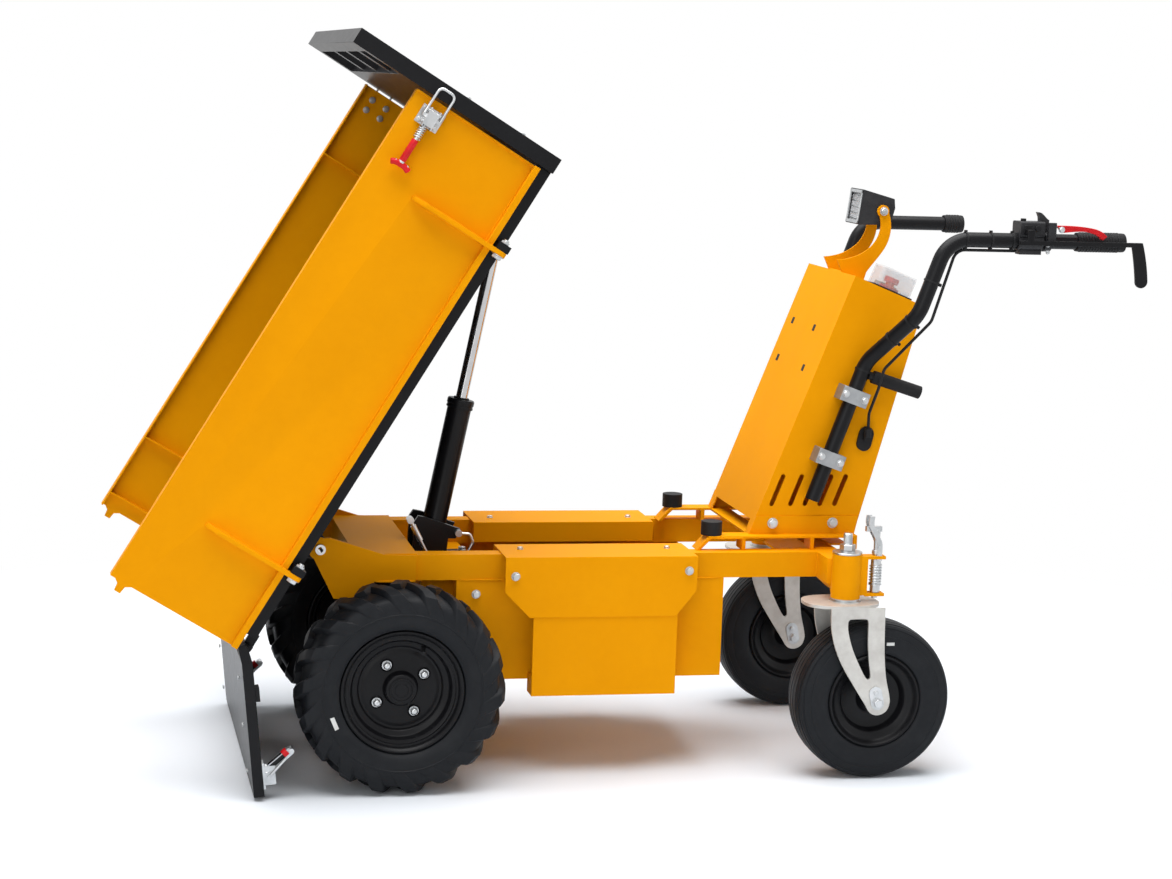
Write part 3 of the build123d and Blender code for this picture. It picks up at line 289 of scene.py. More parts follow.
@dataclass(frozen=True)
class PowderCoat(Finish):
    """Sprayed and baked powder paint with a faint orange peel and thin dust."""

    shade: Colour
    gloss: float = 0.40
    shine: float = 0.02
    peel: float = 0.00005
    dust: Colour = (0.55, 0.42, 0.24)
    dusty: float = 0.02

    def dress(self, shader: Shader) -> None:
        """Mottle the colour, scatter dust and raise the peel.

        Args:
            shader: the material under construction.
        """
        cloud = shader.noise(5.5, detail=3.0)
        fine = shader.noise(60.0, detail=4.0, roughness=0.6)
        tone = shader.spread(cloud * 0.7 + fine * 0.3, 0.35, 0.68)
        dust = shader.spread(shader.noise(14.0, detail=8.0, roughness=0.72), 0.62, 0.82, 0.0, self.dusty)
        paint = shader.blend(tone, self.shade, self.colour)
        shader.set(Base_Color=shader.blend(dust, paint, self.dust))
        shader.set(Roughness=self.gloss + 0.12 * fine + 0.8 * dust, Specular_IOR_Level=self.shine)
        shader.bump(shader.noise(420.0), self.peel)


@dataclass(frozen=True)
class Plating(Finish):
    """Metal: zinc plate, a ground rod or a tumbled casting."""

    tint: Colour
    rough: tuple[float, float] = (0.24, 0.42)
    grain: Point = (1, 1, 1)
    depth: float = 0.00003
    metal: float = 1.0

    def dress(self, shader: Shader) -> None:
        """Cloud the tint and the roughness, and raise the grain.

        Args:
            shader: the material under construction.
        """
        low, high = self.rough
        cloud = shader.noise(34.0, detail=5.0, roughness=0.6)
        grain = shader.noise(700.0, detail=3.0, roughness=0.6, stretch=self.grain)
        shader.set(Base_Color=shader.blend(shader.spread(cloud, 0.35, 0.65), self.colour, self.tint))
        shader.set(Metallic=self.metal, Roughness=low + (high - low) * (0.6 * cloud + 0.4 * grain))
        shader.bump(grain, self.depth)


@dataclass(frozen=True)
class Rubber(Finish):
    """Moulded rubber with a fine grain and a little dust."""

    dust: Colour
    dusty: float
    rough: float
    shine: float = 0.16
    depth: float = 0.00007

    def dress(self, shader: Shader) -> None:
        """Scuff the colour and raise the grain.

        Args:
            shader: the material under construction.
        """
        scuff = shader.spread(shader.noise(22.0, detail=7.0, roughness=0.7), 0.46, 0.74, 0.0, self.dusty)
        grain = shader.noise(900.0, detail=3.0, roughness=0.6)
        shader.set(Base_Color=shader.blend(scuff, self.colour, self.dust))
        shader.set(Roughness=self.rough + 0.14 * grain + 0.25 * scuff, Specular_IOR_Level=self.shine)
        shader.bump(grain + 1.6 * shader.noise(45.0, detail=3.0), self.depth)


@dataclass(frozen=True)
class Plastic(Finish):
    """Moulded plastic with a light grain."""

    rough: float
    depth: float = 0.00003
    shine: float = 0.22

    def dress(self, shader: Shader) -> None:
        """Vary the tone slightly and raise the grain.

        Args:
            shader: the material under construction.
        """
        cloud = shader.noise(30.0, detail=4.0, roughness=0.6)
        worn = tuple(min(1.0, 1.25 * channel + 0.01) for channel in self.colour)
        shader.set(Base_Color=shader.blend(shader.spread(cloud, 0.4, 0.75), self.colour, worn))
        shader.set(Roughness=self.rough + 0.15 * cloud, Specular_IOR_Level=self.shine)
        shader.bump(shader.noise(1100.0), self.depth)


@dataclass(frozen=True)
class ClearPlastic(Finish):
    """Clear moulded plastic or glass."""

    alpha: float

    def dress(self, shader: Shader) -> None:
        """Let most light straight through, with a light haze."""
        haze = shader.spread(shader.noise(40.0, detail=4.0), 0.4, 0.8, 0.03, 0.12)
        shader.set(Base_Color=self.colour, Roughness=haze, Alpha=self.alpha, IOR=1.49)


YELLOW = PowderCoat("yellow_powder_coat", "yellow_paint", (0.83, 0.325, 0.002), (0.79, 0.300, 0.0015))
BLACK = PowderCoat("black_powder_coat", "black_paint", (0.007, 0.007, 0.008), (0.004, 0.004, 0.005), 0.30, 0.17)
ZINC = Plating("zinc_plate", "zinc", (0.60, 0.61, 0.62), (0.46, 0.48, 0.49))
FORK_ZINC = Plating("fork_zinc_plate", "zinc", (0.60, 0.585, 0.55), (0.50, 0.48, 0.45), (0.38, 0.55), metal=0.6)
STEEL = Plating("ground_rod_steel", "steel", (0.62, 0.62, 0.62), (0.54, 0.54, 0.55), (0.10, 0.20), (1, 1, 9))
CASTING = Plating(
    "tumbled_casting", "cast_aluminium", (0.38, 0.39, 0.40), (0.30, 0.31, 0.32), (0.48, 0.66), depth=0.00012
)
TYRE = Rubber("tyre_rubber", "tread_rubber", (0.008, 0.009, 0.011), (0.022, 0.023, 0.025), 0.4, 0.40)
GRIP = Rubber("grip_rubber", "rubber", (0.012, 0.012, 0.013), (0.035, 0.034, 0.034), 0.25, 0.5)
CASE = Plastic("case_plastic", "grey_case", (0.018, 0.018, 0.020), 0.36)
RED = Plastic("red_lever_plastic", "red_plastic", (0.55, 0.006, 0.010), 0.26, 0.00001)
CLEAR = ClearPlastic("clear_guard_plastic", "clear", (0.60, 0.63, 0.66), 0.26)
LENS = ClearPlastic("lamp_lens_glass", "lamp_glass", (0.92, 0.93, 0.95), 0.45)
LABEL = Plastic("blank_label_vinyl", "zinc", (0.62, 0.62, 0.60), 0.4)


# ---------- places
class Side(Enum):
    """A side of the machine, by the sign of its y."""

    LEFT = -1
    RIGHT = 1


def joint(name: str) -> dict[str, Any]:
    """A joint of the frame by its name."""
    return next(row for row in frame["joints"] if row["name"] == name)


def hinge_place(name: str, turn: float) -> Matrix:
    """The place of a hinge across the machine, turned by an angle in radians towards +Z."""
    at = Matrix.Translation([value / MM for value in joint(name)["pos_m"]])
    return at @ Matrix.Rotation(-turn, 4, "Y")


UP = (0, 0, 1)
BODY_OF = {node: body for body, nodes in frame["record"]["behaviour"]["bodies"].items() for node in nodes}
DRIVE_X = joint("drive_left_roll")["pos_m"][0] / MM
BED_RAISED = math.radians(joint("bed_tip")["range_deg"][1])
GATE_HANGS = math.radians(90 + joint("gate_swing")["range_deg"][1]) + BED_RAISED
MACHINE = Matrix.Translation((DRIVE_X, 0, 0))
BED = hinge_place("bed_tip", BED_RAISED)
GATE = hinge_place("gate_swing", GATE_HANGS)


# ---------- forms
class Axis(Enum):
    """What a profile turns about: the places of its length, its cosine and its sine among x, y and z."""

    X = (0, 1, 2)
    Y = (1, 0, 2)
    Z = (2, 0, 1)


@dataclass(frozen=True)
class Screw:
    """A hexagon screw: its thread's diameter, its head's height and its washer's thickness."""

    size: float
    head: float
    washer: float


def curve(points: Sequence[Point], steps: int = 6, closed: bool = False) -> list[Vector]:
    """Draw a smooth line through points.

    Args:
        points: what the line goes through.
        steps: how many parts each span has.
        closed: whether it comes back to its start.

    Returns:
        The line's points.
    """
    count = len(points)
    line = []
    for i in range(count if closed else count - 1):
        near = range(i - 1, i + 3)
        a, b, c, d = (Vector(points[k % count] if closed else points[min(max(k, 0), count - 1)]) for k in near)
        for j in range(steps):
            t = j / steps
            bend = (2 * a - 5 * b + 4 * c - d) * t * t + (3 * b - a - 3 * c + d) * t**3
            line.append(0.5 * (2 * b + (c - a) * t + bend))
    if not closed:
        line.append(Vector(points[-1]))
    return line


def mirrored(place: Point, sign: int) -> Point:
    """A place given for the right side, or with a sign of -1 its mirror image on the left."""
    return (place[0], sign * place[1], place[2])


def both_halves(half: Points) -> list[Point]:
    """A whole section from its outer half, given from the outer edge to the middle."""
    return [*half, *((-w, r) for w, r in half[-2::-1])]


def chamfered(radius: float, cut: float = 1.0) -> Callable[[float], float]:
    """A tube's radius that is cut back at both ends."""
    return lambda share: radius - cut * (share in (0.0, 1.0))


class Form:
    """A mesh under construction, in millimetres of a local place."""

    def __init__(self, place: Matrix = MACHINE) -> None:
        """Start an empty form on a place that carries its millimetres to the model's."""
        self.mesh = bmesh.new()
        self.place = place

    def block(self, near: Iterable[Point], far: Iterable[Point]) -> "Form":
        """Close two equal loops of points into a block.

        Args:
            near: one end's corners, in order.
            far: the other end's corners, in the same order.

        Returns:
            The form.
        """
        a, b = ([self.mesh.verts.new(point) for point in loop] for loop in (near, far))
        self.mesh.faces.new(a)
        self.mesh.faces.new(b[::-1])
        for i in range(len(a)):
            self.mesh.faces.new((a[i - 1], b[i - 1], b[i], a[i]))
        return self

    def box(self, x: Point, y: Point, z: Point) -> "Form":
        """Add a box between pairs of limits."""
        return self.prism([(x[0], z[0]), (x[1], z[0]), (x[1], z[1]), (x[0], z[1])], y)

    def prism(self, outline: Sequence[Point], y: Point) -> "Form":
        """Add a side-view outline of (x, z) points, drawn out between two values of y."""
        return self.block(*([(a, side, b) for a, b in outline] for side in y))

    def plate(self, outline: Sequence[Point], hole: Sequence[Point], y: Point) -> "Form":
        """Add a side-view outline of (x, z) points with a hole, drawn out between two values of y.

        Args:
            outline: the outer edge.
            hole: the inner edge.
            y: the two faces.

        Returns:
            The form.
        """
        made = bmesh.new()
        for loop in (outline, hole):
            verts = [made.verts.new((a, min(y), b)) for a, b in loop]
            for pair in zip(verts, verts[1:] + verts[:1]):
                made.edges.new(pair)
        bmesh.ops.triangle_fill(made, use_beauty=True, edges=made.edges)
        drawn = bmesh.ops.extrude_face_region(made, geom=made.faces[:], use_keep_orig=True)
        for part in drawn["geom"]:
            if isinstance(part, bmesh.types.BMVert):
                part.co.y = max(y)
        data = bpy.data.meshes.new("plate")
        made.to_mesh(data)
        made.free()
        self.mesh.from_mesh(data)
        bpy.data.meshes.remove(data)
        return self

    def lathe(self, profile: Iterable[Point], centre: Point, axis: Axis = Axis.Y, steps: int = 64) -> "Form":
        """Turn a profile about an axis.

        Args:
            profile: (along the axis, radius) points.
            centre: a point of the axis, from which the profile is measured.
            axis: the axis.
            steps: how many parts go round.

        Returns:
            The form.
        """
        profile = list(profile)
        rings = []
        for i in range(steps):
            turn = math.tau * i / steps
            ring = []
            for along, radius in profile:
                at = list(centre)
                for place, part in zip(axis.value, (along, radius * math.cos(turn), radius * math.sin(turn))):
                    at[place] += part
                ring.append(self.mesh.verts.new(at))
            rings.append(ring)
        for i in range(steps):
            here, there = rings[i - 1], rings[i]
            for k in range(len(profile) - 1):
                self.mesh.faces.new((here[k], here[k + 1], there[k + 1], there[k]))
        return self

    def tube(self, path: Iterable[Point], radius: float | Callable[[float], float], sides: int = 16) -> "Form":
        """Draw a round section along a path.

        Args:
            path: points that the middle follows.
            radius: a size, or a function of the share of the path.
            sides: how many flats go round.

        Returns:
            The form.
        """
        points = [Vector(p) for p in path]
        last = len(points) - 1
        side = None
        rings = []
        for i, at in enumerate(points):
            ahead = (points[min(i + 1, last)] - points[max(i - 1, 0)]).normalized()
            side = ahead.orthogonal() if side is None else side - ahead * side.dot(ahead)
            side = side.normalized()
            up = ahead.cross(side)
            size = radius(i / last) if callable(radius) else radius
            turns = [math.tau * k / sides for k in range(sides)]
            rings.append([self.mesh.verts.new(at + size * (side * math.cos(t) + up * math.sin(t))) for t in turns])
        for here, there in zip(rings, rings[1:]):
            for k in range(sides):
                self.mesh.faces.new((here[k - 1], here[k], there[k], there[k - 1]))
        self.mesh.faces.new(rings[0][::-1])
        self.mesh.faces.new(rings[-1])
        return self

    def coil(self, start: Point, end: Point, radius: float, wire: float, turns: float) -> "Form":
        """Wind a spring.

        Args:
            start: one end of its axis.
            end: the other end.
            radius: from the axis to the wire's middle.
            wire: the wire's radius.
            turns: how often the wire goes round.

        Returns:
            The form.
        """
        a, b = Vector(start), Vector(end)
        ahead = (b - a).normalized()
        side = ahead.orthogonal().normalized()
        up = ahead.cross(side)
        count = round(turns * 14)
        path = []
        for i in range(count + 1):
            turn = math.tau * turns * i / count
            path.append(a.lerp(b, i / count) + radius * (side * math.cos(turn) + up * math.sin(turn)))
        return self.tube(path, wire, 8)

    def rod(self, start: Point, end: Point, radius: float, sides: int = 24) -> "Form":
        """Add a straight round bar."""
        return self.tube((start, end), radius, sides)

    def bolt(self, at: Point, out: Point, screw: Screw) -> "Form":
        """Add a hexagon head on its washer.

        Args:
            at: the middle of the washer's seat.
            out: the direction that the head points.
            screw: the sizes.

        Returns:
            The form.
        """
        ahead = Vector(out).normalized()
        base = Vector(at)
        top = base + ahead * screw.washer
        self.rod(base, top, screw.size * 1.08, 28)
        # share of the head's height, share of its width
        crown = ((0.0, 0.93), (0.12, 1.0), (0.82, 1.0), (1.0, 0.86))
        widths = [screw.size * 0.93 * width for _, width in crown]
        path = [top + ahead * screw.head * rise for rise, _ in crown]
        self.tube(path, lambda share: widths[round(share * (len(crown) - 1))], 6)
        return self.rod(top + ahead * (screw.head - 0.2), top + ahead * (screw.head + 0.5), screw.size * 0.42, 16)

    def weld(self, start: Point, end: Point, radius: float, pitch: float = 3.0) -> "Form":
        """Add a rippled weld bead.

        Args:
            start: one end.
            end: the other end.
            radius: the bead's radius.
            pitch: the length of a ripple.

        Returns:
            The form.
        """
        a, b = Vector(start), Vector(end)
        count = max(2, round((b - a).length / pitch * 3))
        turns = math.tau * count / 3

        def ripple(share: float) -> float:
            """The bead's radius at a share of its length."""
            ends = min(1.0, 6 * share + 0.3, 6 * (1 - share) + 0.3)
            return radius * ends * (1 + 0.16 * math.sin(turns * share) + 0.08 * math.sin(23 * share))

        return self.tube([a.lerp(b, i / count) for i in range(count + 1)], ripple, 8)

    def build(
        self, name: str, finish: Finish, body: str, bevel: float = 0.0, smooth: float = 35.0, stands_for: str = ""
    ) -> None:
        """Turn the form into a piece with its finish, rounded edges and body.

        Args:
            name: the piece's name.
            finish: its finish.
            body: the body that it moves with.
            bevel: the width of its rounded edges, in millimetres.
            smooth: faces that meet under this angle are shaded as one, in degrees.
            stands_for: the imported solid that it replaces, if any.
        """
        self.mesh.transform(Matrix.Scale(MM, 4) @ self.place)
        bmesh.ops.recalc_face_normals(self.mesh, faces=self.mesh.faces)
        data = bpy.data.meshes.new(name)
        self.mesh.to_mesh(data)
        self.mesh.free()
        piece = bpy.data.objects.new(name, data)
        bpy.context.scene.collection.objects.link(piece)
        data.materials.clear()
        data.materials.append(finish.material())
        data.shade_smooth()
        data.set_sharp_from_angle(angle=math.radians(smooth))
        if bevel:
            edge = piece.modifiers.new("rounded edges", "BEVEL")
            edge.width = bevel * MM
            edge.segments = 2
            edge.limit_method = "ANGLE"
            edge.angle_limit = math.radians(28)
            edge.use_clamp_overlap = True
        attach(piece, body)
        if stands_for:
            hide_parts(stands_for)
        log.info("%s: %s on %s", name, finish.name, body)


def soften(node: str, finish: Finish, bevel: float) -> None:
    """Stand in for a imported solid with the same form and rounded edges.

    Args:
        node: the solid's name.
        finish: its finish.
        bevel: the width of its rounded edges, in millimetres.
    """
    form = Form(Matrix.Scale(1 / MM, 4))
    form.mesh.from_mesh(frame["nodes"][node].data)
    bmesh.ops.remove_doubles(form.mesh, verts=form.mesh.verts, dist=0.01 * MM)
    bmesh.ops.dissolve_limit(form.mesh, angle_limit=math.radians(0.6), verts=form.mesh.verts, edges=form.mesh.edges)
    form.build(f"{node}_finished", finish, BODY_OF[node], bevel, stands_for=node)


def repaint(node: str, finish: Finish) -> None:
    """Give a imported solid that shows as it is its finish.

    Args:
        node: the solid's name.
        finish: its finish.
    """
    for place in frame["nodes"][node].material_slots:
        place.material = finish.material()
    log.info("%s: %s", node, finish.name)


# ---------- wheels
@dataclass
class DriveWheel:
    """A driven tractor wheel: a lugged tyre on a pressed steel rim with four wheel bolts.

    Profiles are (across, radius) points, and across runs from the wheel's middle towards its outer face.
    """

    side: Side
    radius: float = 200.0
    steps: int = 96
    casing: Points = (
        (40, 104), (42, 115), (47, 119), (51, 120.5), (52.5, 123), (55.5, 126), (58.6, 134), (60.4, 144),
        (61.0, 154), (60.4, 164), (58.0, 173), (53.0, 180), (44.0, 185), (24.0, 187.6), (0.0, 188.4),
    )  # fmt: skip
    wall_line: Points = ((60.9, 149.0), (61.9, 150.2), (61.9, 151.8), (60.9, 153.0))
    lugs: int = 18
    lug_start: float = math.radians(10)
    lug_sweep: float = math.radians(18)
    lug_width: Point = (36.0, 22.0)
    # across, the casing's radius, the lug's height, its lean across
    lug_spine: Points = (
        (60.6, 150, 0.2, 1.0), (60.9, 158, 1.2, 1.0), (60.2, 166, 2.0, 1.0), (57.0, 175, 4.8, 0.86),
        (51.0, 181, 9.4, 0.60), (42.0, 185.4, 11.6, 0.30), (26.0, 187.3, 12.0, 0.10), (10.0, 188.0, 11.8, 0.02),
        (-5.0, 188.2, 11.4, 0.0),
    )  # fmt: skip
    rim_outer: Points = (
        (41, 103), (41, 114), (44, 116.5), (48, 117.5), (50.5, 116.5), (51, 114), (48.5, 110.5), (45, 108),
        (36, 106), (34, 103.5), (33, 97), (30, 95), (22, 93), (20, 91), (19, 84), (16, 80.5), (12, 79),
        (11, 77), (11.5, 74), (13.5, 70), (14, 66), (14, 40), (15, 34), (19, 31), (30, 30.5), (32, 29),
        (33, 27), (33, 0.6),
    )  # fmt: skip
    rim_inner: Points = (
        (41, 103), (-41, 103), (-41, 114), (-44, 116.5), (-48, 117.5), (-50.5, 116.5), (-51, 114),
        (-46, 108), (-37, 104), (-30, 99), (4, 92), (7, 78), (8, 40), (-14, 34), (-20, 33), (-20, 22.5),
    )  # fmt: skip
    bolts: int = 4
    bolt_start: float = math.radians(31)
    bolt_seat: Point = (14, 52)
    bolt: Screw = Screw(8.5, 7.0, 1.8)
    bolt_crown: Points = ((8.4, 6.6), (9.6, 6.2), (11.0, 4.6), (11.6, 2.4), (11.8, 0.2))
    bolt_cup: Points = ((0.0, 12.5), (1.6, 12.5), (2.2, 11.8), (0.8, 9.6), (0.2, 9.0))
    cap: Points = ((32.6, 24.0), (34.6, 23.4), (34.8, 20.5), (33.4, 19.8), (33.6, 13.0), (34.6, 12.2), (34.8, 0.3))
    valve: Points = ((20, 88), (34, 84), (41, 82))
    valve_turn: float = math.radians(62)
    label_faces: Point = (60.0, 61.4)
    label_radii: Point = (136, 144)
    label_turns: Point = (math.radians(203) - 0.088, math.radians(203) + 0.088)

    def __post_init__(self) -> None:
        """Find the wheel's side, middle and body."""
        self.name, self.sign = self.side.name.lower(), self.side.value
        low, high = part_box(f"drive_tyre_{self.name}")
        self.centre = (0.0, (low.y + high.y) / 2 / MM, self.radius)
        self.body = f"drive_{self.name}"

    def at(self, across: float, radius: float, turn: float) -> Vector:
        """A place on the wheel: across towards its outer face, radius, turn about the axle."""
        x, y, z = self.centre
        return Vector((x + radius * math.cos(turn), y + self.sign * across, z + radius * math.sin(turn)))

    def turned(self, form: Form, profile: Iterable[Point], centre: Point, steps: int) -> None:
        """Lathe a profile that runs towards the wheel's outer face."""
        form.lathe([(self.sign * across, radius) for across, radius in profile], centre, steps=steps)

    def tyre(self) -> None:
        """Lathe the casing and wrap the lugs over its shoulders."""
        form = Form()
        self.turned(form, both_halves(self.casing), self.centre, self.steps)
        for face in (-1, 1):
            self.turned(form, [(face * w, r) for w, r in self.wall_line], self.centre, self.steps)
            for i in range(self.lugs):
                self.lug(form, face, self.lug_start - math.tau * (i + 0.25 * face * self.sign) / self.lugs)
        node = f"drive_tyre_{self.name}"
        form.build(f"{node}_lugged", TYRE, self.body, smooth=32, stands_for=node)

    def lug(self, form: Form, face: int, turn: float) -> None:
        """Add one lug.

        Args:
            form: the tyre under construction.
            face: 1 for the outer half of the tread, -1 for the inner.
            turn: where the lug stands round the wheel.
        """
        wide, narrow = self.lug_width
        rows = []
        for k, (across, radius, height, lean) in enumerate(self.lug_spine):
            share = k / (len(self.lug_spine) - 1)
            swing = turn + self.lug_sweep * (share - 0.5)
            width = (wide + (narrow - wide) * share) * (0.80 + 0.20 * min(1.0, 3.2 * share))
            upright = math.sqrt(1 - lean * lean)
            row = []
            # the foot, the shoulder and the top: rise above the casing, share of the width
            for rise, half in ((-2.0, 0.60), (max(height - 1.6, height / 2), 0.47), (height, 0.40)):
                r = radius + rise * upright
                for way in (-1, 1):
                    row.append(self.at(face * (across + rise * lean), r, swing + way * width * half / r))
            rows.append([form.mesh.verts.new(point) for point in row])
        for a, b in zip(rows, rows[1:]):
            for i, j in ((0, 2), (2, 4), (4, 5), (5, 3), (3, 1)):
                form.mesh.faces.new((a[i], a[j], b[j], b[i]))
        for end in (rows[0], rows[-1]):
            form.mesh.faces.new([end[i] for i in (0, 2, 4, 5, 3, 1)])

    def rim(self) -> None:
        """Lathe the flanges, the stepped barrel, the disc and the hub, and bolt it on."""
        form = Form()
        for profile in (self.rim_outer, self.rim_inner):
            self.turned(form, profile, self.centre, self.steps)
        node = f"drive_rim_{self.name}"
        form.build(f"{node}_pressed", BLACK, self.body, smooth=38, stands_for=node)
        bolts, cups = Form(), Form()
        for i in range(self.bolts):
            seat = self.at(*self.bolt_seat, self.bolt_start + math.tau * i / self.bolts)
            self.turned(cups, self.bolt_cup, seat, 32)
            bolts.bolt(seat, (0, self.sign, 0), self.bolt)
            self.turned(bolts, self.bolt_crown, seat, 24)
        bolts.build(f"drive_wheel_bolts_{self.name}", ZINC, self.body)
        cups.build(f"drive_wheel_bolt_cups_{self.name}", BLACK, self.body)

    def trim(self) -> None:
        """Add the hub cap's rings, the valve and the blank label on the tyre."""
        cap, valve, label = Form(), Form(), Form()
        self.turned(cap, self.cap, self.centre, 48)
        cap.build(f"drive_hub_cap_{self.name}", BLACK, self.body)
        root, tip, end = (self.at(*place, self.valve_turn) for place in self.valve)
        valve.tube((root, root.lerp(tip, 0.5), tip), lambda share: 4.6 - 1.4 * share)
        valve.rod(tip, end, 3.9, 20)
        valve.build(f"drive_valve_{self.name}", GRIP, self.body)
        (low, high), (start, stop) = self.label_radii, self.label_turns
        corners = ((low, start), (high, start), (high, stop), (low, stop))
        label.block(*([self.at(across, *corner) for corner in corners] for across in self.label_faces))
        label.build(f"drive_label_{self.name}", LABEL, self.body)

    def build(self) -> None:
        """Make the whole wheel."""
        self.tyre()
        self.rim()
        self.trim()


@dataclass
class Caster:
    """A swivel caster: a ribbed pneumatic tyre on a pressed rim in a plated fork.

    The wheel's profiles are (across, radius) points, the fork's outlines (x, z) points about the wheel's middle, and
    the swivel's profiles (height, radius) points with the steps that go round.
    """

    side: Side
    radius: float = 158.0
    trail: float = 58.0
    steps: int = 96
    casing: Points = (
        (33, 83), (35, 92), (38.5, 94.5), (41, 97), (43.6, 104), (45.3, 114), (46.0, 124), (45.6, 131),
        (44.7, 132.2), (44.9, 134.2), (45.2, 135.0), (44.2, 139.5), (42.2, 145.0), (41.2, 145.2),
        (41.0, 147.4), (41.4, 148.0), (38.2, 152.4), (35.4, 153.4), (34.6, 151.4), (32.8, 151.6), (32.2, 154.8),
        (25.0, 156.8), (23.0, 157.2), (22.4, 154.6), (20.2, 154.7), (19.6, 157.6), (9.0, 158.0), (8.4, 155.4),
        (6.2, 155.4), (5.6, 158.0), (0.0, 158.0),
    )  # fmt: skip
    rim_half: Points = (
        (0, 80), (33, 82), (34, 91.5), (37, 93), (40, 93), (42, 91), (41.6, 88), (37, 84), (33, 82),
        (30, 77), (28, 68), (25, 65), (16, 63), (12, 60), (10, 52), (9, 38), (12, 30), (20, 26),
        (34, 23.5), (48, 22.5), (49, 21.5), (49, 9.0), (0, 9.0),
    )  # fmt: skip
    leg: Points = (
        (-103, 190), (-101, 150), (-92, 112), (-76, 76), (-55, 42), (-34, 10), (-26, -2), (-14, -20), (2, -25),
        (18, -18), (25, -3), (24, 14), (15, 52), (10, 96), (8, 140), (7, 190),
    )  # fmt: skip
    window: Points = (
        (-68, 160), (-66, 166), (-60, 168), (-32, 168), (-27, 164), (-26, 156), (-25, 118), (-21, 80), (-17, 56),
        (-19, 48), (-26, 50), (-40, 74), (-56, 108), (-66, 140),
    )  # fmt: skip
    leg_faces: Point = (52, 57)
    crown_half: Point = (76, 57)
    crown_back: float = 10.0
    crown_heights: Point = (346, 352)
    crown_power: float = 2.6
    swivel: tuple[tuple[int, Points], ...] = (
        (64, ((351.5, 31), (354, 31), (354.6, 27.5), (357.7, 27.5), (357.7, 12))),
        (64, ((446.4, 12), (446.4, 29), (447.0, 29.4), (449.4, 29.4), (450.2, 28.8), (450.4, 12))),
        (40, ((450.4, 15.5), (452.6, 15.5), (452.8, 9))),
        (32, ((358, 11.6), (446, 11.6))),
    )
    nut: Point = (452.6, 453.6, 464, 465)
    nut_size: float = 15.6
    thread_tip: Points = ((486, 8.4), (487, 7.2), (487, 0.2))
    threads: int = 12
    thread_pitch: float = 1.7
    axle_nut: Screw = Screw(10, 6.5, 1.8)
    lock_screw: Screw = Screw(5, 3.4, 1.0)
    lock_place: Point = (-5, 21)
    link_radius: float = 13.0
    label_x: Point = (17, 33)
    label_z: Point = (112, 118)

    def __post_init__(self) -> None:
        """Find the caster's side, its wheel's middle and its two bodies."""
        self.name, self.sign = self.side.name.lower(), self.side.value
        low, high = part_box(f"caster_tyre_{self.name}")
        self.centre = ((low.x + high.x) / 2 / MM - DRIVE_X, (low.y + high.y) / 2 / MM, self.radius)
        self.wheel_body = f"caster_{self.name}"
        self.fork_body = f"fork_{self.name}"

    def wheel(self) -> None:
        """Lathe the tyre with its tread ribs and side rings, and both halves of the rim and its hub."""
        tyre, rim = Form(), Form()
        tyre.lathe(both_halves(self.casing), self.centre, steps=self.steps)
        node = f"caster_tyre_{self.name}"
        tyre.build(f"{node}_ribbed", TYRE, self.wheel_body, smooth=30, stands_for=node)
        for way in (-1, 1):
            rim.lathe([(way * across, r) for across, r in self.rim_half], self.centre, steps=self.steps)
        node = f"caster_rim_{self.name}"
        rim.build(f"{node}_pressed", BLACK, self.wheel_body, smooth=38, stands_for=node)

    def fork(self) -> None:
        """Cut the legs and fold them from the top plate."""
        x, y, z = self.centre
        form = Form()
        leg, gap = (
            [(x + a, z + b) for a, b in line] for line in (curve(self.leg, 4), curve(self.window, 3, closed=True))
        )
        for way in (-1, 1):
            form.plate(leg, gap, [y + way * face for face in self.leg_faces])
        crown = []
        for i in range(48):
            a, b = math.cos(math.tau * i / 48), math.sin(math.tau * i / 48)
            stretch = (abs(a) ** self.crown_power + abs(b) ** self.crown_power) ** (-1 / self.crown_power)
            long, wide = self.crown_half
            crown.append((x - self.trail - self.crown_back + long * a * stretch, y + wide * b * stretch))
        form.block(*([(*point, height) for point in crown] for height in self.crown_heights))
        node = f"caster_fork_{self.name}"
        form.build(f"{node}_pressed", FORK_ZINC, self.fork_body, 1.4, stands_for=node)

    def stack(self) -> None:
        """Stack the races, the nut and the threaded end on the swivel's axis."""
        x, y, _ = self.centre
        at = (x - self.trail, y, 0)
        form = Form()
        for steps, profile in self.swivel:
            form.lathe(profile, at, Axis.Z, steps)
        form.tube([(*at[:2], height) for height in self.nut], chamfered(self.nut_size, 1.6), 6)
        thread = [(self.nut[-1], 8.6)]
        for i in range(self.threads):
            crest = 465.8 + self.thread_pitch * i
            thread += [(crest, 9.0), (crest + 0.8, 8.1)]
        form.lathe([*thread, *self.thread_tip], at, Axis.Z, 32)
        form.build(f"caster_swivel_{self.name}", ZINC, self.fork_body, smooth=30)

    def axle(self) -> None:
        """Close the axle's ends with a nut, a link plate and its screw."""
        x, y, z = self.centre
        lock_x, lock_z = self.lock_place
        link = []
        # the plate's two round ends: where the arc starts, and its middle
        for start, a, b in ((14, lock_x, lock_z - 1), (194, 0, -1)):
            for turn in (math.radians(start + 15 * i) for i in range(13)):
                link.append((x + a + self.link_radius * math.cos(turn), z + b + self.link_radius * math.sin(turn)))
        form = Form()
        for way in (-1, 1):
            face = y + way * self.leg_faces[1]
            seat = face + way * 2.6
            form.prism(link, (face - way * 0.4, seat))
            form.bolt((x, seat, z), (0, way, 0), self.axle_nut)
            form.bolt((x + lock_x, seat, z + lock_z), (0, way, 0), self.lock_screw)
        form.rod((x, y - 58, z), (x, y + 58, z), 8)
        form.build(f"caster_axle_{self.name}", ZINC, self.fork_body, 0.5)

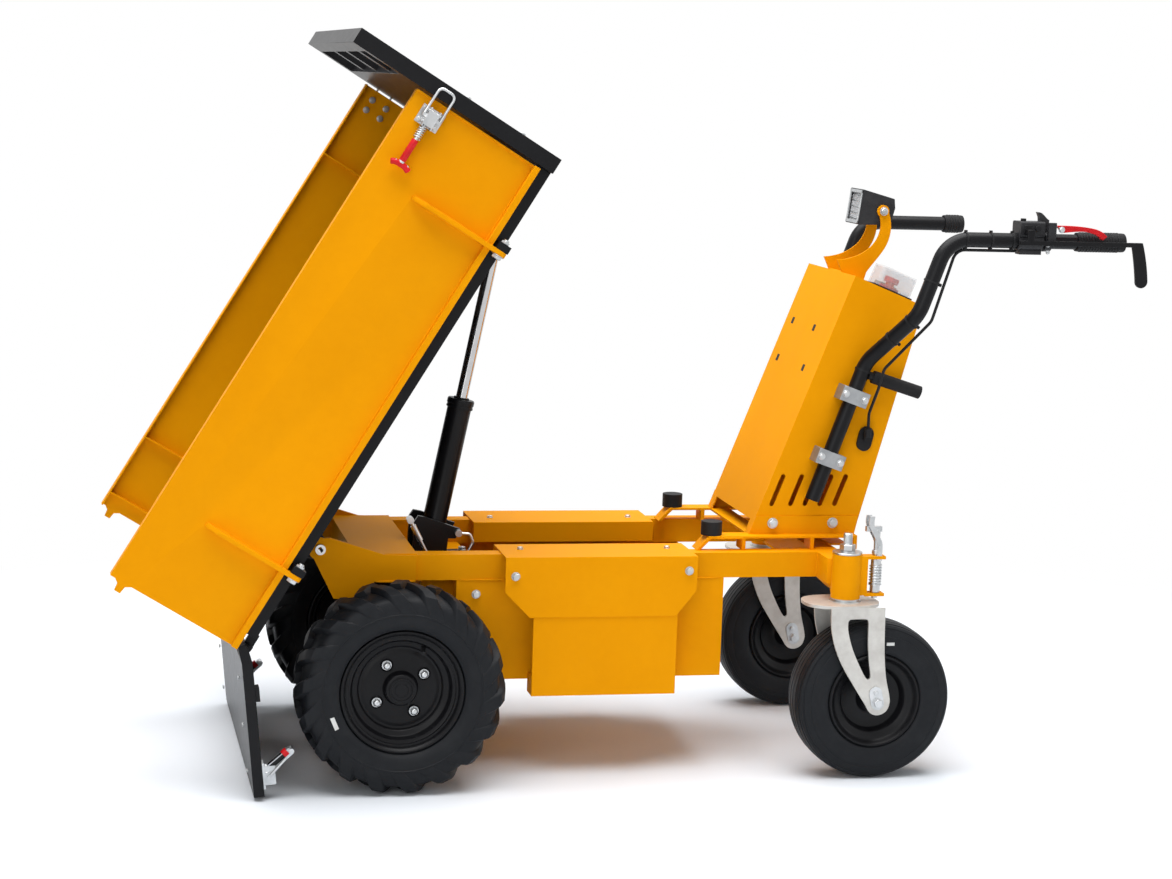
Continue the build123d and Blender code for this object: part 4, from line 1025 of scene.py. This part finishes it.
    def label(self) -> None:
        """Add the bare label on the outer side wall."""
        x, y, z = self.centre
        faces = (y + self.sign * 45.6, y + self.sign * 46.2)
        form = Form()
        form.box([x + a for a in self.label_x], faces, [z + b for b in self.label_z])
        form.build(f"caster_label_{self.name}", LABEL, self.wheel_body)

    def build(self) -> None:
        """Make the whole caster."""
        self.wheel()
        self.fork()
        self.stack()
        self.axle()
        self.label()


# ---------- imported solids
@dataclass
class Bodywork:
    """The solids that keep their packed form: some with rounded edges, by finish and width, and the plain ones."""

    softened: tuple[tuple[Finish, float, tuple[str, ...]], ...] = (
        (YELLOW, 0.9, (
            "main_frame", "console_seat", "centre_tub", "side_box_left", "side_box_right", "cover_left",
            "cover_right", "console", "lamp_bracket", "side_panel_left", "side_panel_right",
        )),
        (BLACK, 0.9, (
            "platform", "headboard", "tailgate", "cylinder_base", "cylinder_barrel", "handlebar_left",
            "handlebar_right", "hand_guard",
        )),
        (CASTING, 0.6, ("handle_clamps",)),
        (ZINC, 0.6, ("side_latch_left", "side_latch_right", "gate_latches", "swivel_locks")),
        (RED, 0.6, ("brake_lever", "stop_button")),
        (CASE, 0.6, ("work_lamp", "control_pod", "power_pack")),
        (GRIP, 0.6, ("socket_cap", "bump_stops", "grips", "pegs", "gate_bumps")),
    )  # fmt: skip
    plain: tuple[tuple[Finish, tuple[str, ...]], ...] = (
        (BLACK, ("drive_axle",)),
        (CASE, ("battery_packs",)),
        (STEEL, ("cylinder_rod", "tip_pins")),
        (ZINC, ("feed_pipe", "return_hose")),
        (GRIP, ("cable_grommet", "control_cable")),
        (LENS, ("lamp_lens",)),
        (CLEAR, ("button_guard",)),
    )

    def build(self) -> None:
        """Round the edges of the shown solids and finish the rest."""
        for finish, bevel, nodes in self.softened:
            for node in nodes:
                soften(node, finish, bevel)
        for finish, nodes in self.plain:
            for node in nodes:
                repaint(node, finish)


# ---------- hardware
@dataclass
class Chassis:
    """The bolts and the weld beads of the frame, given for the right side and mirrored."""

    out_bolts: tuple[tuple[Screw, Points], ...] = (
        (Screw(8, 5.5, 1.8), ((227, 253, 400), (571, 253, 408), (159, 205, 356))),
        (Screw(10, 6.5, 2.0), ((764, 158, 484), (889, 158, 484))),
        (Screw(8, 5, 1.6), ((1002, 49, 1104),)),
    )
    up_bolts: tuple[tuple[Screw, Points], ...] = (
        (Screw(6, 3.6, 1.2), ((250, 170, 437), (545, 170, 437))),
        (Screw(8, 5.5, 1.6), ((68, 50, 393), (172, 50, 393))),
    )
    clamps: Points = ((867.6, 618), (911.9, 743.6))
    clamp_across: Point = (0.943, -0.332)
    clamp_half: float = 21.0
    clamp_bolt: Screw = Screw(7, 4.8, 1.6)
    # start, end, radius
    beads: tuple[tuple[Point, Point, float], ...] = (
        ((126, 206, 384), (648, 206, 384), 2.2),
        ((-38, 213, 384), (38, 213, 384), 2.2),
        *(((x, 206, 386), (x, 206, 432), 2.4) for x in (846, 898)),
        ((848, 170, 434.5), (894, 170, 434.5), 2.2),
        ((640, 181, 458), (700, 181, 458), 1.8),
        ((606, 180, 435), (612, 138, 435), 2.2),
        ((912, 268.5, 366), (912, 268.5, 440), 2.0),
    )
    tube_middle: Point = (882, 282)
    tube_radius: float = 29.0

    def bolts(self) -> None:
        """Bolt the covers, the tub, the console, the clamps and the stops."""
        form = Form()
        along, rise = (self.clamp_half * part for part in self.clamp_across)
        for sign in (-1, 1):
            for rows, out in ((self.out_bolts, (0, sign, 0)), (self.up_bolts, UP)):
                for screw, places in rows:
                    for place in places:
                        form.bolt(mirrored(place, sign), out, screw)
            for x, z in self.clamps:
                for way in (-1, 1):
                    form.bolt((x + way * along, sign * 195, z + way * rise), (0, sign, 0), self.clamp_bolt)
        form.build("chassis_bolts", ZINC, BODY_OF["main_frame"], 0.4)

    def welds(self) -> None:
        """Run the beads where plates and tubes join."""
        form = Form()
        middle_x, middle_y = self.tube_middle
        for sign in (-1, 1):
            for start, end, radius in self.beads:
                form.weld(mirrored(start, sign), mirrored(end, sign), radius)
            for turn in (math.radians(-60), math.radians(60)):
                x = middle_x + self.tube_radius * math.sin(turn)
                y = sign * (middle_y - self.tube_radius * math.cos(turn))
                form.weld((x, y, 364), (x, y, 432), 2.2)
        form.build("frame_welds", YELLOW, BODY_OF["main_frame"], smooth=60)

    def build(self) -> None:
        """Bolt and weld the frame."""
        self.bolts()
        self.welds()


@dataclass
class ConsoleTrim:
    """A dark sheet behind the console's holes and black fill in them, both painted shade standing in for the shade
    inside the console, and the collar under the button's guard.
    """

    foot: Point = (716, 462)
    front: Point = (0.3549, 0.9349)
    crown: Point = (913, 981)
    lid: Point = (0.9294, -0.3692)
    # the two ends of the painted-shade sheet along the console's front
    shade_sheet: Point = (300, 480)
    holes: Points = ((107, 865), (-39, 865), (107, 787), (-72, 787))
    hole_half: float = 7.0
    guard_x: float = 1000.0
    guard_half: float = 43.0
    guard_y: Point = (-133, -63)

    def band(self, foot: Point, along: Point, reach: Point, depth: Point) -> list[Vector]:
        """Outline a band beside a sloping line.

        Args:
            foot: where the line starts.
            along: its direction.
            reach: the band's two ends along the line.
            depth: its two faces, into the console.

        Returns:
            The (x, z) corners.
        """
        start, ahead, inward = Vector(foot), Vector(along), Vector((along[1], -along[0]))
        (near, far), (front, back) = reach, depth
        return [start + ahead * a + inward * b for a, b in ((near, front), (far, front), (far, back), (near, back))]

    def build(self) -> None:
        """Set the painted-shade sheet inside the console's front, fill its holes with painted shade and seat the
        guard.
        """
        form = Form()
        # painted shade: a dark rubber sheet just inside the console's front, standing in for the shade inside it
        form.prism(self.band(self.foot, self.front, self.shade_sheet, (5, 8)), (-125, 125))
        half = self.hole_half
        # painted shade: black fill in each hole, standing in for the shade in the hole
        for y, z in self.holes:
            middle = (z - self.foot[1]) / self.front[1]
            dark_fill = self.band(self.foot, self.front, (middle - half, middle + half), (-0.5, 6))
            form.prism(dark_fill, (y - half, y + half))
        middle = (self.guard_x - self.crown[0]) / self.lid[0]
        reach = (middle - self.guard_half, middle + self.guard_half)
        form.prism(self.band(self.crown, self.lid, reach, (0.5, -4)), self.guard_y)
        form.build("console_lining", GRIP, BODY_OF["console"], 0.5)


@dataclass
class Leads:
    """The leads that join the batteries: (y, start) places of an arch of (along, z) points, by colour."""

    arch: Points = ((0, 322), (0, 342), (20, 352), (120, 352), (140, 342), (140, 322))
    radius: float = 5.5
    boot: float = 9.0
    runs: tuple[tuple[str, Finish, Points], ...] = (
        ("red", RED, ((-92, 330), (92, 350))),
        ("black", GRIP, ((-118, 300),)),
    )

    def build(self) -> None:
        """Bend the leads and boot their ends."""
        for name, finish, places in self.runs:
            form = Form()
            for y, start in places:
                form.tube(curve([(start + along, y, z) for along, z in self.arch]), self.radius)
                for along, z in (self.arch[0], self.arch[-1]):
                    form.rod((start + along, y, z), (start + along, y, z + 14), self.boot)
            form.build(f"battery_leads_{name}", finish, BODY_OF["battery_packs"], smooth=50)


@dataclass
class SwivelLocks:
    """The springs and the bent levers of the casters' lock pins."""

    place: Point = (942, 282)
    spring: Point = (385, 424)
    washer: Points = ((383, 6), (383, 13), (385, 13), (385, 6))
    strip: Points = ((3, 432), (3, 462), (0, 474), (-9, 490), (-16, 505), (-15, 521))
    strip_half: float = 5.5
    strip_faces: Point = (8, 10.5)
    # height, half length, radius
    pins: Points = ((446, 12, 4), (459, 13, 2.6))

    def build(self) -> None:
        """Wind the springs, bend the strips and pin them."""
        form = Form()
        x = self.place[0]
        strip = curve(self.strip, 5)
        near = [(x + a - self.strip_half, h) for a, h in strip]
        far = [(x + a + self.strip_half, h) for a, h in reversed(strip)]
        for sign in (-1, 1):
            y = sign * self.place[1]
            low, high = self.spring
            form.coil((x, y, low), (x, y, high), 11.4, 1.5, 7)
            form.lathe(self.washer, (x, y, 0), Axis.Z, 32)
            for way in (-1, 1):
                form.prism(near + far, [y + way * face for face in self.strip_faces])
            for height, half, radius in self.pins:
                form.rod((x + 3, y - half, height), (x + 3, y + half, height), radius)
        form.build("swivel_lock_springs", ZINC, BODY_OF["swivel_locks"], 0.3)


@dataclass
class Bed:
    """The drop sides' hinge pins, the headboard's bolts and the bed's weld beads."""

    straps: Point = (-48, 652)
    hinge: Point = (388, 48)
    nut: Point = (-12.6, -11.8, -6.6, -5.8)
    washer: Points = ((-6.2, 6), (-6.2, 12.6), (-4.7, 12.6), (-4.7, 6))
    head: Point = (19.2, 23.6)
    end: Point = (19, 27)
    board: Points = ((856, 340, 120), (856, 340, 240))
    board_bolt: Screw = Screw(7, 4.6, 1.4)
    # start, end, radius
    beads: tuple[tuple[Point, Point, float], ...] = (
        *(((s, 190, 41.4), (s, 200, 41.4), 2.4) for s in (-38, 32)),
        ((824, 338, 43), (824, 338, 70), 2.4),
        *(((s, 336, 42), (s, 336, 68), 2.2) for s in (130, 160, 440, 470)),
    )
    wall: float = 375.5
    wall_foot: tuple[Point, Point] = ((-205, 79), (812, 79))

    def pins(self) -> None:
        """Pin the drop sides' hinges and bolt the headboard."""
        y, h = self.hinge
        form = Form(BED)
        for sign in (-1, 1):
            for s in self.straps:
                nut, end, head = ([(s + a, sign * y, h) for a in reach] for reach in (self.nut, self.end, self.head))
                form.tube(nut, chamfered(10.2), 6)
                form.lathe(self.washer, (s, sign * y, h), Axis.X, 32)
                form.rod(*end, 5.4)
                form.tube(head, 8.6, 6)
            for place in self.board:
                form.bolt(mirrored(place, sign), (1, 0, 0), self.board_bolt)
        form.build("bed_pins", ZINC, BODY_OF["platform"], 0.3)

    def welds(self) -> None:
        """Run the beads of the bed and of each drop side."""
        bed = Form(BED)
        for sign in (-1, 1):
            for start, end, radius in self.beads:
                bed.weld(mirrored(start, sign), mirrored(end, sign), radius)
        bed.build("bed_welds", BLACK, BODY_OF["platform"], smooth=60)
        for side in Side:
            name, y = side.name.lower(), side.value * self.wall
            wall = Form(BED)
            for s in (strap + way for strap in self.straps for way in (-4.8, 4.8)):
                wall.weld((s, y, 232), (s, y, 84), 1.7)
            start, end = ((s, y, h) for s, h in self.wall_foot)
            wall.weld(start, end, 1.5, 4.0)
            wall.build(f"side_panel_welds_{name}", YELLOW, BODY_OF[f"side_panel_{name}"], smooth=60)

    def build(self) -> None:
        """Pin, bolt and weld the bed."""
        self.pins()
        self.welds()


@dataclass
class SideLatch:
    """A drop side's toggle latch: its ears, pins, spring, screws and red handle."""

    side: Side
    across: float = 389.0
    level: float = 288.0
    face: float = 378.0
    ear_tip: float = 402.0
    ears: Point = (274.5, 293)
    ear_ends: Point = (768, 806)
    # along, across
    pins: Points = ((799, 392), (777, 394))
    screws: Points = ((776, 268), (800, 268), (776, 302), (800, 302))
    outer_screw: Screw = Screw(5, 3.2, 1.0)
    inner_face: float = 372.0
    inner_screw: Screw = Screw(6.5, 4.6, 1.4)
    stem: Point = (741, 740, 697, 695)
    bar: Points = ((685, 268), (689, 276), (690, 287), (689, 298), (685, 306))

    def build(self) -> None:
        """Dress the latch."""
        name, sign = self.side.name.lower(), self.side.value
        y = sign * self.across
        body = BODY_OF[f"side_latch_{name}"]
        metal, handle = Form(BED), Form(BED)
        for h in self.ears:
            metal.box(self.ear_ends, (sign * self.face, sign * self.ear_tip), (h, h + 2.4))
        for s, across in self.pins:
            metal.rod((s, sign * across, 271), (s, sign * across, 299), 3.4)
        metal.coil((770, y, self.level), (744, y, self.level), 7.2, 1.3, 6)
        for s, h in self.screws:
            metal.bolt((s, sign * self.face, h), (0, sign, 0), self.outer_screw)
            metal.bolt((s, sign * self.inner_face, h), (0, -sign, 0), self.inner_screw)
        metal.build(f"side_latch_trim_{name}", ZINC, body, 0.3)
        handle.tube([(s, y, self.level) for s in self.stem], chamfered(6.6), 20)
        handle.tube(curve([(s, y, h) for s, h in self.bar], 5), chamfered(5.8, 1.6))
        handle.build(f"side_latch_handle_{name}", RED, body, smooth=40)


@dataclass
class Tailgate:
    """The tailgate's toggle latches, one near each end, and the screws of its sheet."""

    outer: float = -5.0
    latch: float = 345.0
    screws: Points = ((223, 336), (263, 336), (223, 354), (263, 354))
    screw: Screw = Screw(5, 3.2, 1.0)
    spring: float = 232.0
    # along the tailgate, out from its face
    link: Points = ((246, 22), (214, 56))
    lever: Points = ((229, 26), (209, 54))
    tip: Points = ((209, 52), (203, 60))
    sheet_screws: Points = ((60, 318), (150, 318), (240, 318))
    sheet_screw: Screw = Screw(4, 2.2, 0.8)

    def build(self) -> None:
        """Dress the latches and screw the sheet on."""
        metal, black, red = Form(GATE), Form(GATE), Form(GATE)
        for sign in (-1, 1):
            y = sign * self.latch
            for a, b in self.screws:
                metal.bolt((a, sign * b, self.outer + 4), UP, self.screw)
            rise = self.outer + 18
            metal.coil((self.spring, y - 9, rise), (self.spring, y + 9, rise), 6, 1.4, 4)
            link, lever, tip = ([(a, self.outer + b) for a, b in run] for run in (self.link, self.lever, self.tip))
            foot, height = link[0]
            metal.rod((foot, y - 13, height), (foot, y + 13, height), 3.4)
            for way in (-1, 1):
                metal.tube([(a, y + way * 11, b) for a, b in link], 2.6, 12)
            black.tube([(a, y, b) for a, b in lever], 7.4)
            red.tube([(a, y, b) for a, b in tip], 8.2)
            for a, b in self.sheet_screws:
                metal.bolt((a, sign * b, self.outer - 17), UP, self.sheet_screw)
        metal.build("gate_latch_trim", ZINC, BODY_OF["tailgate"], 0.3)
        black.build("gate_latch_levers", GRIP, BODY_OF["tailgate"])
        red.build("gate_latch_tips", RED, BODY_OF["tailgate"])


@dataclass
class Handles:
    """The grips' ribs, the cable's ties, the control pod's keys and the brake lever's pivot."""

    bar: Point = (262, 1064)
    # side, start, end
    grips: Points = ((-1, 1330, 1424), (1, 1248, 1284))
    rib_pitch: float = 6.0
    rib: Points = ((0, 18.7), (1.2, 19.7), (3.4, 19.7), (4.6, 18.7))
    grip_end: Points = ((0, 18.9), (4.6, 18.2), (5.2, 15), (5.2, 0.3))
    cable_ties: Point = (1096, 1148, 1192)
    strap: Points = ((0, 15.1), (0, 16.4), (4, 16.4), (4, 15.1))
    left_bar: Points = ((838, -177, 534), (936, -177, 812), (1010, -262, 915), (1063, -262, 1064))
    # the left bar's span, share of the span
    bar_ties: Points = ((0, 0.94), (1, 0.50), (1, 0.86), (2, 0.44))
    pivot: Point = (1284, -293, 1089)
    pivot_screw: Screw = Screw(6, 4, 1.2)
    clamp_screws: Points = ((1262, -282.5, 1044), (1262, -282.5, 1058))
    clamp_screw: Screw = Screw(4, 2.6, 0.8)

    def ribs(self) -> None:
        """Lathe the grips' ribs."""
        form = Form()
        y, z = self.bar
        for sign, start, end in self.grips:
            profile = [(start, 15.4), (start, 18.7)]
            for i in range(round((end - start - 8) / self.rib_pitch)):
                profile += [(start + 4 + self.rib_pitch * i + a, r) for a, r in self.rib]
            profile += [(end + a, r) for a, r in self.grip_end]
            form.lathe(profile, (0, sign * y, z), Axis.X, 40)
        form.build("grip_ribs", GRIP, BODY_OF["grips"], smooth=30)

    def ties(self) -> None:
        """Tie the cables to the cross tube and to the left handlebar."""
        cable, bar = Form(), Form()
        y, z = self.bar
        for x in self.cable_ties:
            cable.lathe([(x + a, r) for a, r in self.strap], (0, -y, z), Axis.X, 32)
            cable.tube(((x + 2, -y, z - 21), (x + 2, -y, z - 14)), 4.2)
            cable.box((x - 0.5, x + 4.5), (-y - 3, -y + 3), (z + 15.5, z + 19))
        cable.build("cable_ties", GRIP, BODY_OF["control_cable"])
        for span, share in self.bar_ties:
            a, b = (Vector(point) for point in self.left_bar[span : span + 2])
            middle, ahead = a.lerp(b, share), (b - a).normalized()
            bar.tube((middle - ahead * 2, middle + ahead * 2), 16.2, 32)
            back = Vector((ahead.z, 0, -ahead.x)).normalized()
            bar.tube((middle + back * 14, middle + back * 21), 3.4, 12)
        bar.build("handlebar_ties", GRIP, BODY_OF["handlebar_left"])

    def controls(self) -> None:
        """Key the control pod and screw the brake lever on."""
        keys, pivot = Form(), Form()
        keys.box((1210, 1226), (-286.2, -283), (1081, 1096))
        keys.rod((1238, -284, 1090), (1238, -288.5, 1090), 6)
        keys.rod((1216, -262, 1102), (1216, -262, 1108), 5.5)
        keys.build("control_keys", GRIP, BODY_OF["control_pod"], 0.6)
        pivot.bolt(self.pivot, (0, -1, 0), self.pivot_screw)
        for place in self.clamp_screws:
            pivot.bolt(place, (0, -1, 0), self.clamp_screw)
        pivot.build("lever_pivot", ZINC, BODY_OF["brake_lever"], 0.3)

    def build(self) -> None:
        """Dress the handles."""
        self.ribs()
        self.ties()
        self.controls()


@dataclass
class Cylinder:
    """The rings and the wiper of the tipping cylinder's barrel, by their distance from its foot."""

    foot: Point = (100, 0, 430)
    eye: Point = (706, 0, 0)
    # start, end, radius
    rings: Points = ((266, 270, 26.8), (274, 283, 27.2), (14, 20, 25.2))
    wiper: Points = ((284.6, 288, 15.5),)

    def build(self) -> None:
        """Ring the barrel along the line to the bed's eye."""
        base = Vector(self.foot)
        ahead = (MACHINE.inverted() @ BED @ Vector(self.eye) - base).normalized()
        for name, finish, rows, steps, bevel in (
            ("cylinder_rings", BLACK, self.rings, 40, 0.5),
            ("cylinder_wiper", GRIP, self.wiper, 36, 0.4),
        ):
            form = Form()
            for start, end, radius in rows:
                form.rod(base + ahead * start, base + ahead * end, radius, steps)
            form.build(name, finish, BODY_OF["cylinder_barrel"], bevel)


@dataclass
class Lamp:
    """The frame round the lamp's lens, and the ribs across it."""

    foot: Point = (951, 0, 1076)
    head: Point = (960, 0, 1147)
    half_width: float = 38.0
    edge: float = 6.0
    edge_faces: Point = (-1.0, 1.6)
    ribs: int = 5

    def build(self) -> None:
        """Frame the lens and rib it."""
        low, high = Vector(self.foot), Vector(self.head)
        tall, up = (high - low).length, (high - low).normalized()
        tilt = Matrix((up, Vector((0, 1, 0)), Vector((-up.z, 0, up.x)))).transposed().to_4x4()
        form = Form(MACHINE @ Matrix.Translation(low) @ tilt)
        wide = self.half_width
        for start in (2, tall - 2 - self.edge):
            form.box((start, start + self.edge), (-wide, wide), self.edge_faces)
        for y in (-wide, wide - self.edge):
            form.box((2, tall - 2), (y, y + self.edge), self.edge_faces)
        for k in range(1, self.ribs + 1):
            along = tall * k / (self.ribs + 1)
            form.rod((along, -30, -3.6), (along, 30, -3.6), 1.0, 12)
        form.build("lamp_bezel", ZINC, BODY_OF["work_lamp"], 0.8)


# ---------- studio
@dataclass
class Studio:
    """The pale floor, the soft light and the camera."""

    azimuth: float = -12.491
    elevation: float = 8.414
    roll: float = 1.992
    lens: float = 75.96
    stand: Point = (-657.63, -4826.84, 1359.36)
    # name, place in metres, size, power
    lamps: tuple[tuple[str, Point, float, float], ...] = (
        ("overhead", (-0.3, -0.2, 4.2), 5.0, 330.0),
        ("front", (-2.6, -4.6, 2.0), 3.2, 44.0),
        ("right", (4.4, -2.0, 1.8), 2.4, 14.0),
    )
    aim: Point = (0, 0, 0.5)
    sky: float = 0.30
    white: Colour = (1.0, 1.0, 1.0)
    floor_half: float = 14.0
    floor_colour: Colour = (0.83, 0.87, 0.92)
    # where the floor starts to clear and where it has cleared, in metres from the middle, and the weight of its depth
    clear: Point = (1.35, 2.6)
    clear_depth: float = 1.6

    def camera(self) -> None:
        """Stand the camera."""
        data = bpy.data.cameras.new("camera")
        data.lens = self.lens
        data.sensor_width = 36
        item = bpy.data.objects.new("camera", data)
        place = Matrix.Translation((MACHINE @ Vector(self.stand)) * MM)
        for angle, axis in ((self.azimuth, "Z"), (90 - self.elevation, "X"), (self.roll, "Z")):
            place = place @ Matrix.Rotation(math.radians(angle), 4, axis)
        item.matrix_world = place
        bpy.context.scene.collection.objects.link(item)
        bpy.context.scene.camera = item

    def light(self) -> None:
        """Hang the lamps and set the world."""
        for name, at, size, power in self.lamps:
            data = bpy.data.lights.new(name, "AREA")
            data.shape = "DISK"
            data.size = size
            data.energy = power
            item = bpy.data.objects.new(name, data)
            item.location = at
            item.rotation_euler = (Vector(self.aim) - Vector(at)).to_track_quat("-Z", "Y").to_euler()
            bpy.context.scene.collection.objects.link(item)
        world = bpy.data.worlds.new("studio")
        world.use_nodes = True
        nodes = Nodes(world.node_tree)
        nodes.tree.nodes.clear()
        soft, bright = (
            nodes.node("ShaderNodeBackground", Color=self.white, Strength=strength) for strength in (self.sky, 1.0)
        )
        nodes.node("ShaderNodeOutputWorld", Surface=nodes.switch(nodes.background_ray(), soft, bright))
        bpy.context.scene.world = world

    def floor(self) -> None:
        """Lay the pale floor, which clears to white away from the machine."""
        half = self.floor_half
        data = bpy.data.meshes.new("floor")
        corners = ((-half, -half, 0), (half, -half, 0), (half, half, 0), (-half, half, 0))
        data.from_pydata(corners, [], [(0, 1, 2, 3)])
        item = bpy.data.objects.new("floor", data)
        shader = Shader("floor")
        shader.set(Base_Color=self.floor_colour, Roughness=0.9)
        spot = shader.node("ShaderNodeSeparateXYZ", Vector=shader.place)
        x, y = (Signal(shader, spot.outputs[i]) for i in (0, 1))
        reach = (x * x + y * y * self.clear_depth) ** 0.5
        glow = shader.node("ShaderNodeEmission", Color=self.white, Strength=1.0)
        far = shader.background_ray() * shader.spread(reach, *self.clear)
        shader.feed(shader.tree.nodes["Material Output"].inputs["Surface"], shader.switch(far, shader.surface, glow))
        data.materials.append(shader.material)
        bpy.context.scene.collection.objects.link(item)

    def build(self) -> None:
        """Set the whole studio."""
        self.camera()
        self.light()
        self.floor()
        bpy.context.scene.view_settings.view_transform = "Standard"


def main() -> None:
    """Build the studio and each sub-assembly."""
    logging.basicConfig(level=logging.INFO, format="%(name)s: %(message)s")
    Studio().build()
    for side in Side:
        for paired in (DriveWheel, Caster, SideLatch):
            paired(side).build()
    for single in (Bodywork, Chassis, ConsoleTrim, Leads, SwivelLocks, Bed, Tailgate, Handles, Cylinder, Lamp):
        single().build()


if __name__ == "__main__":
    main()
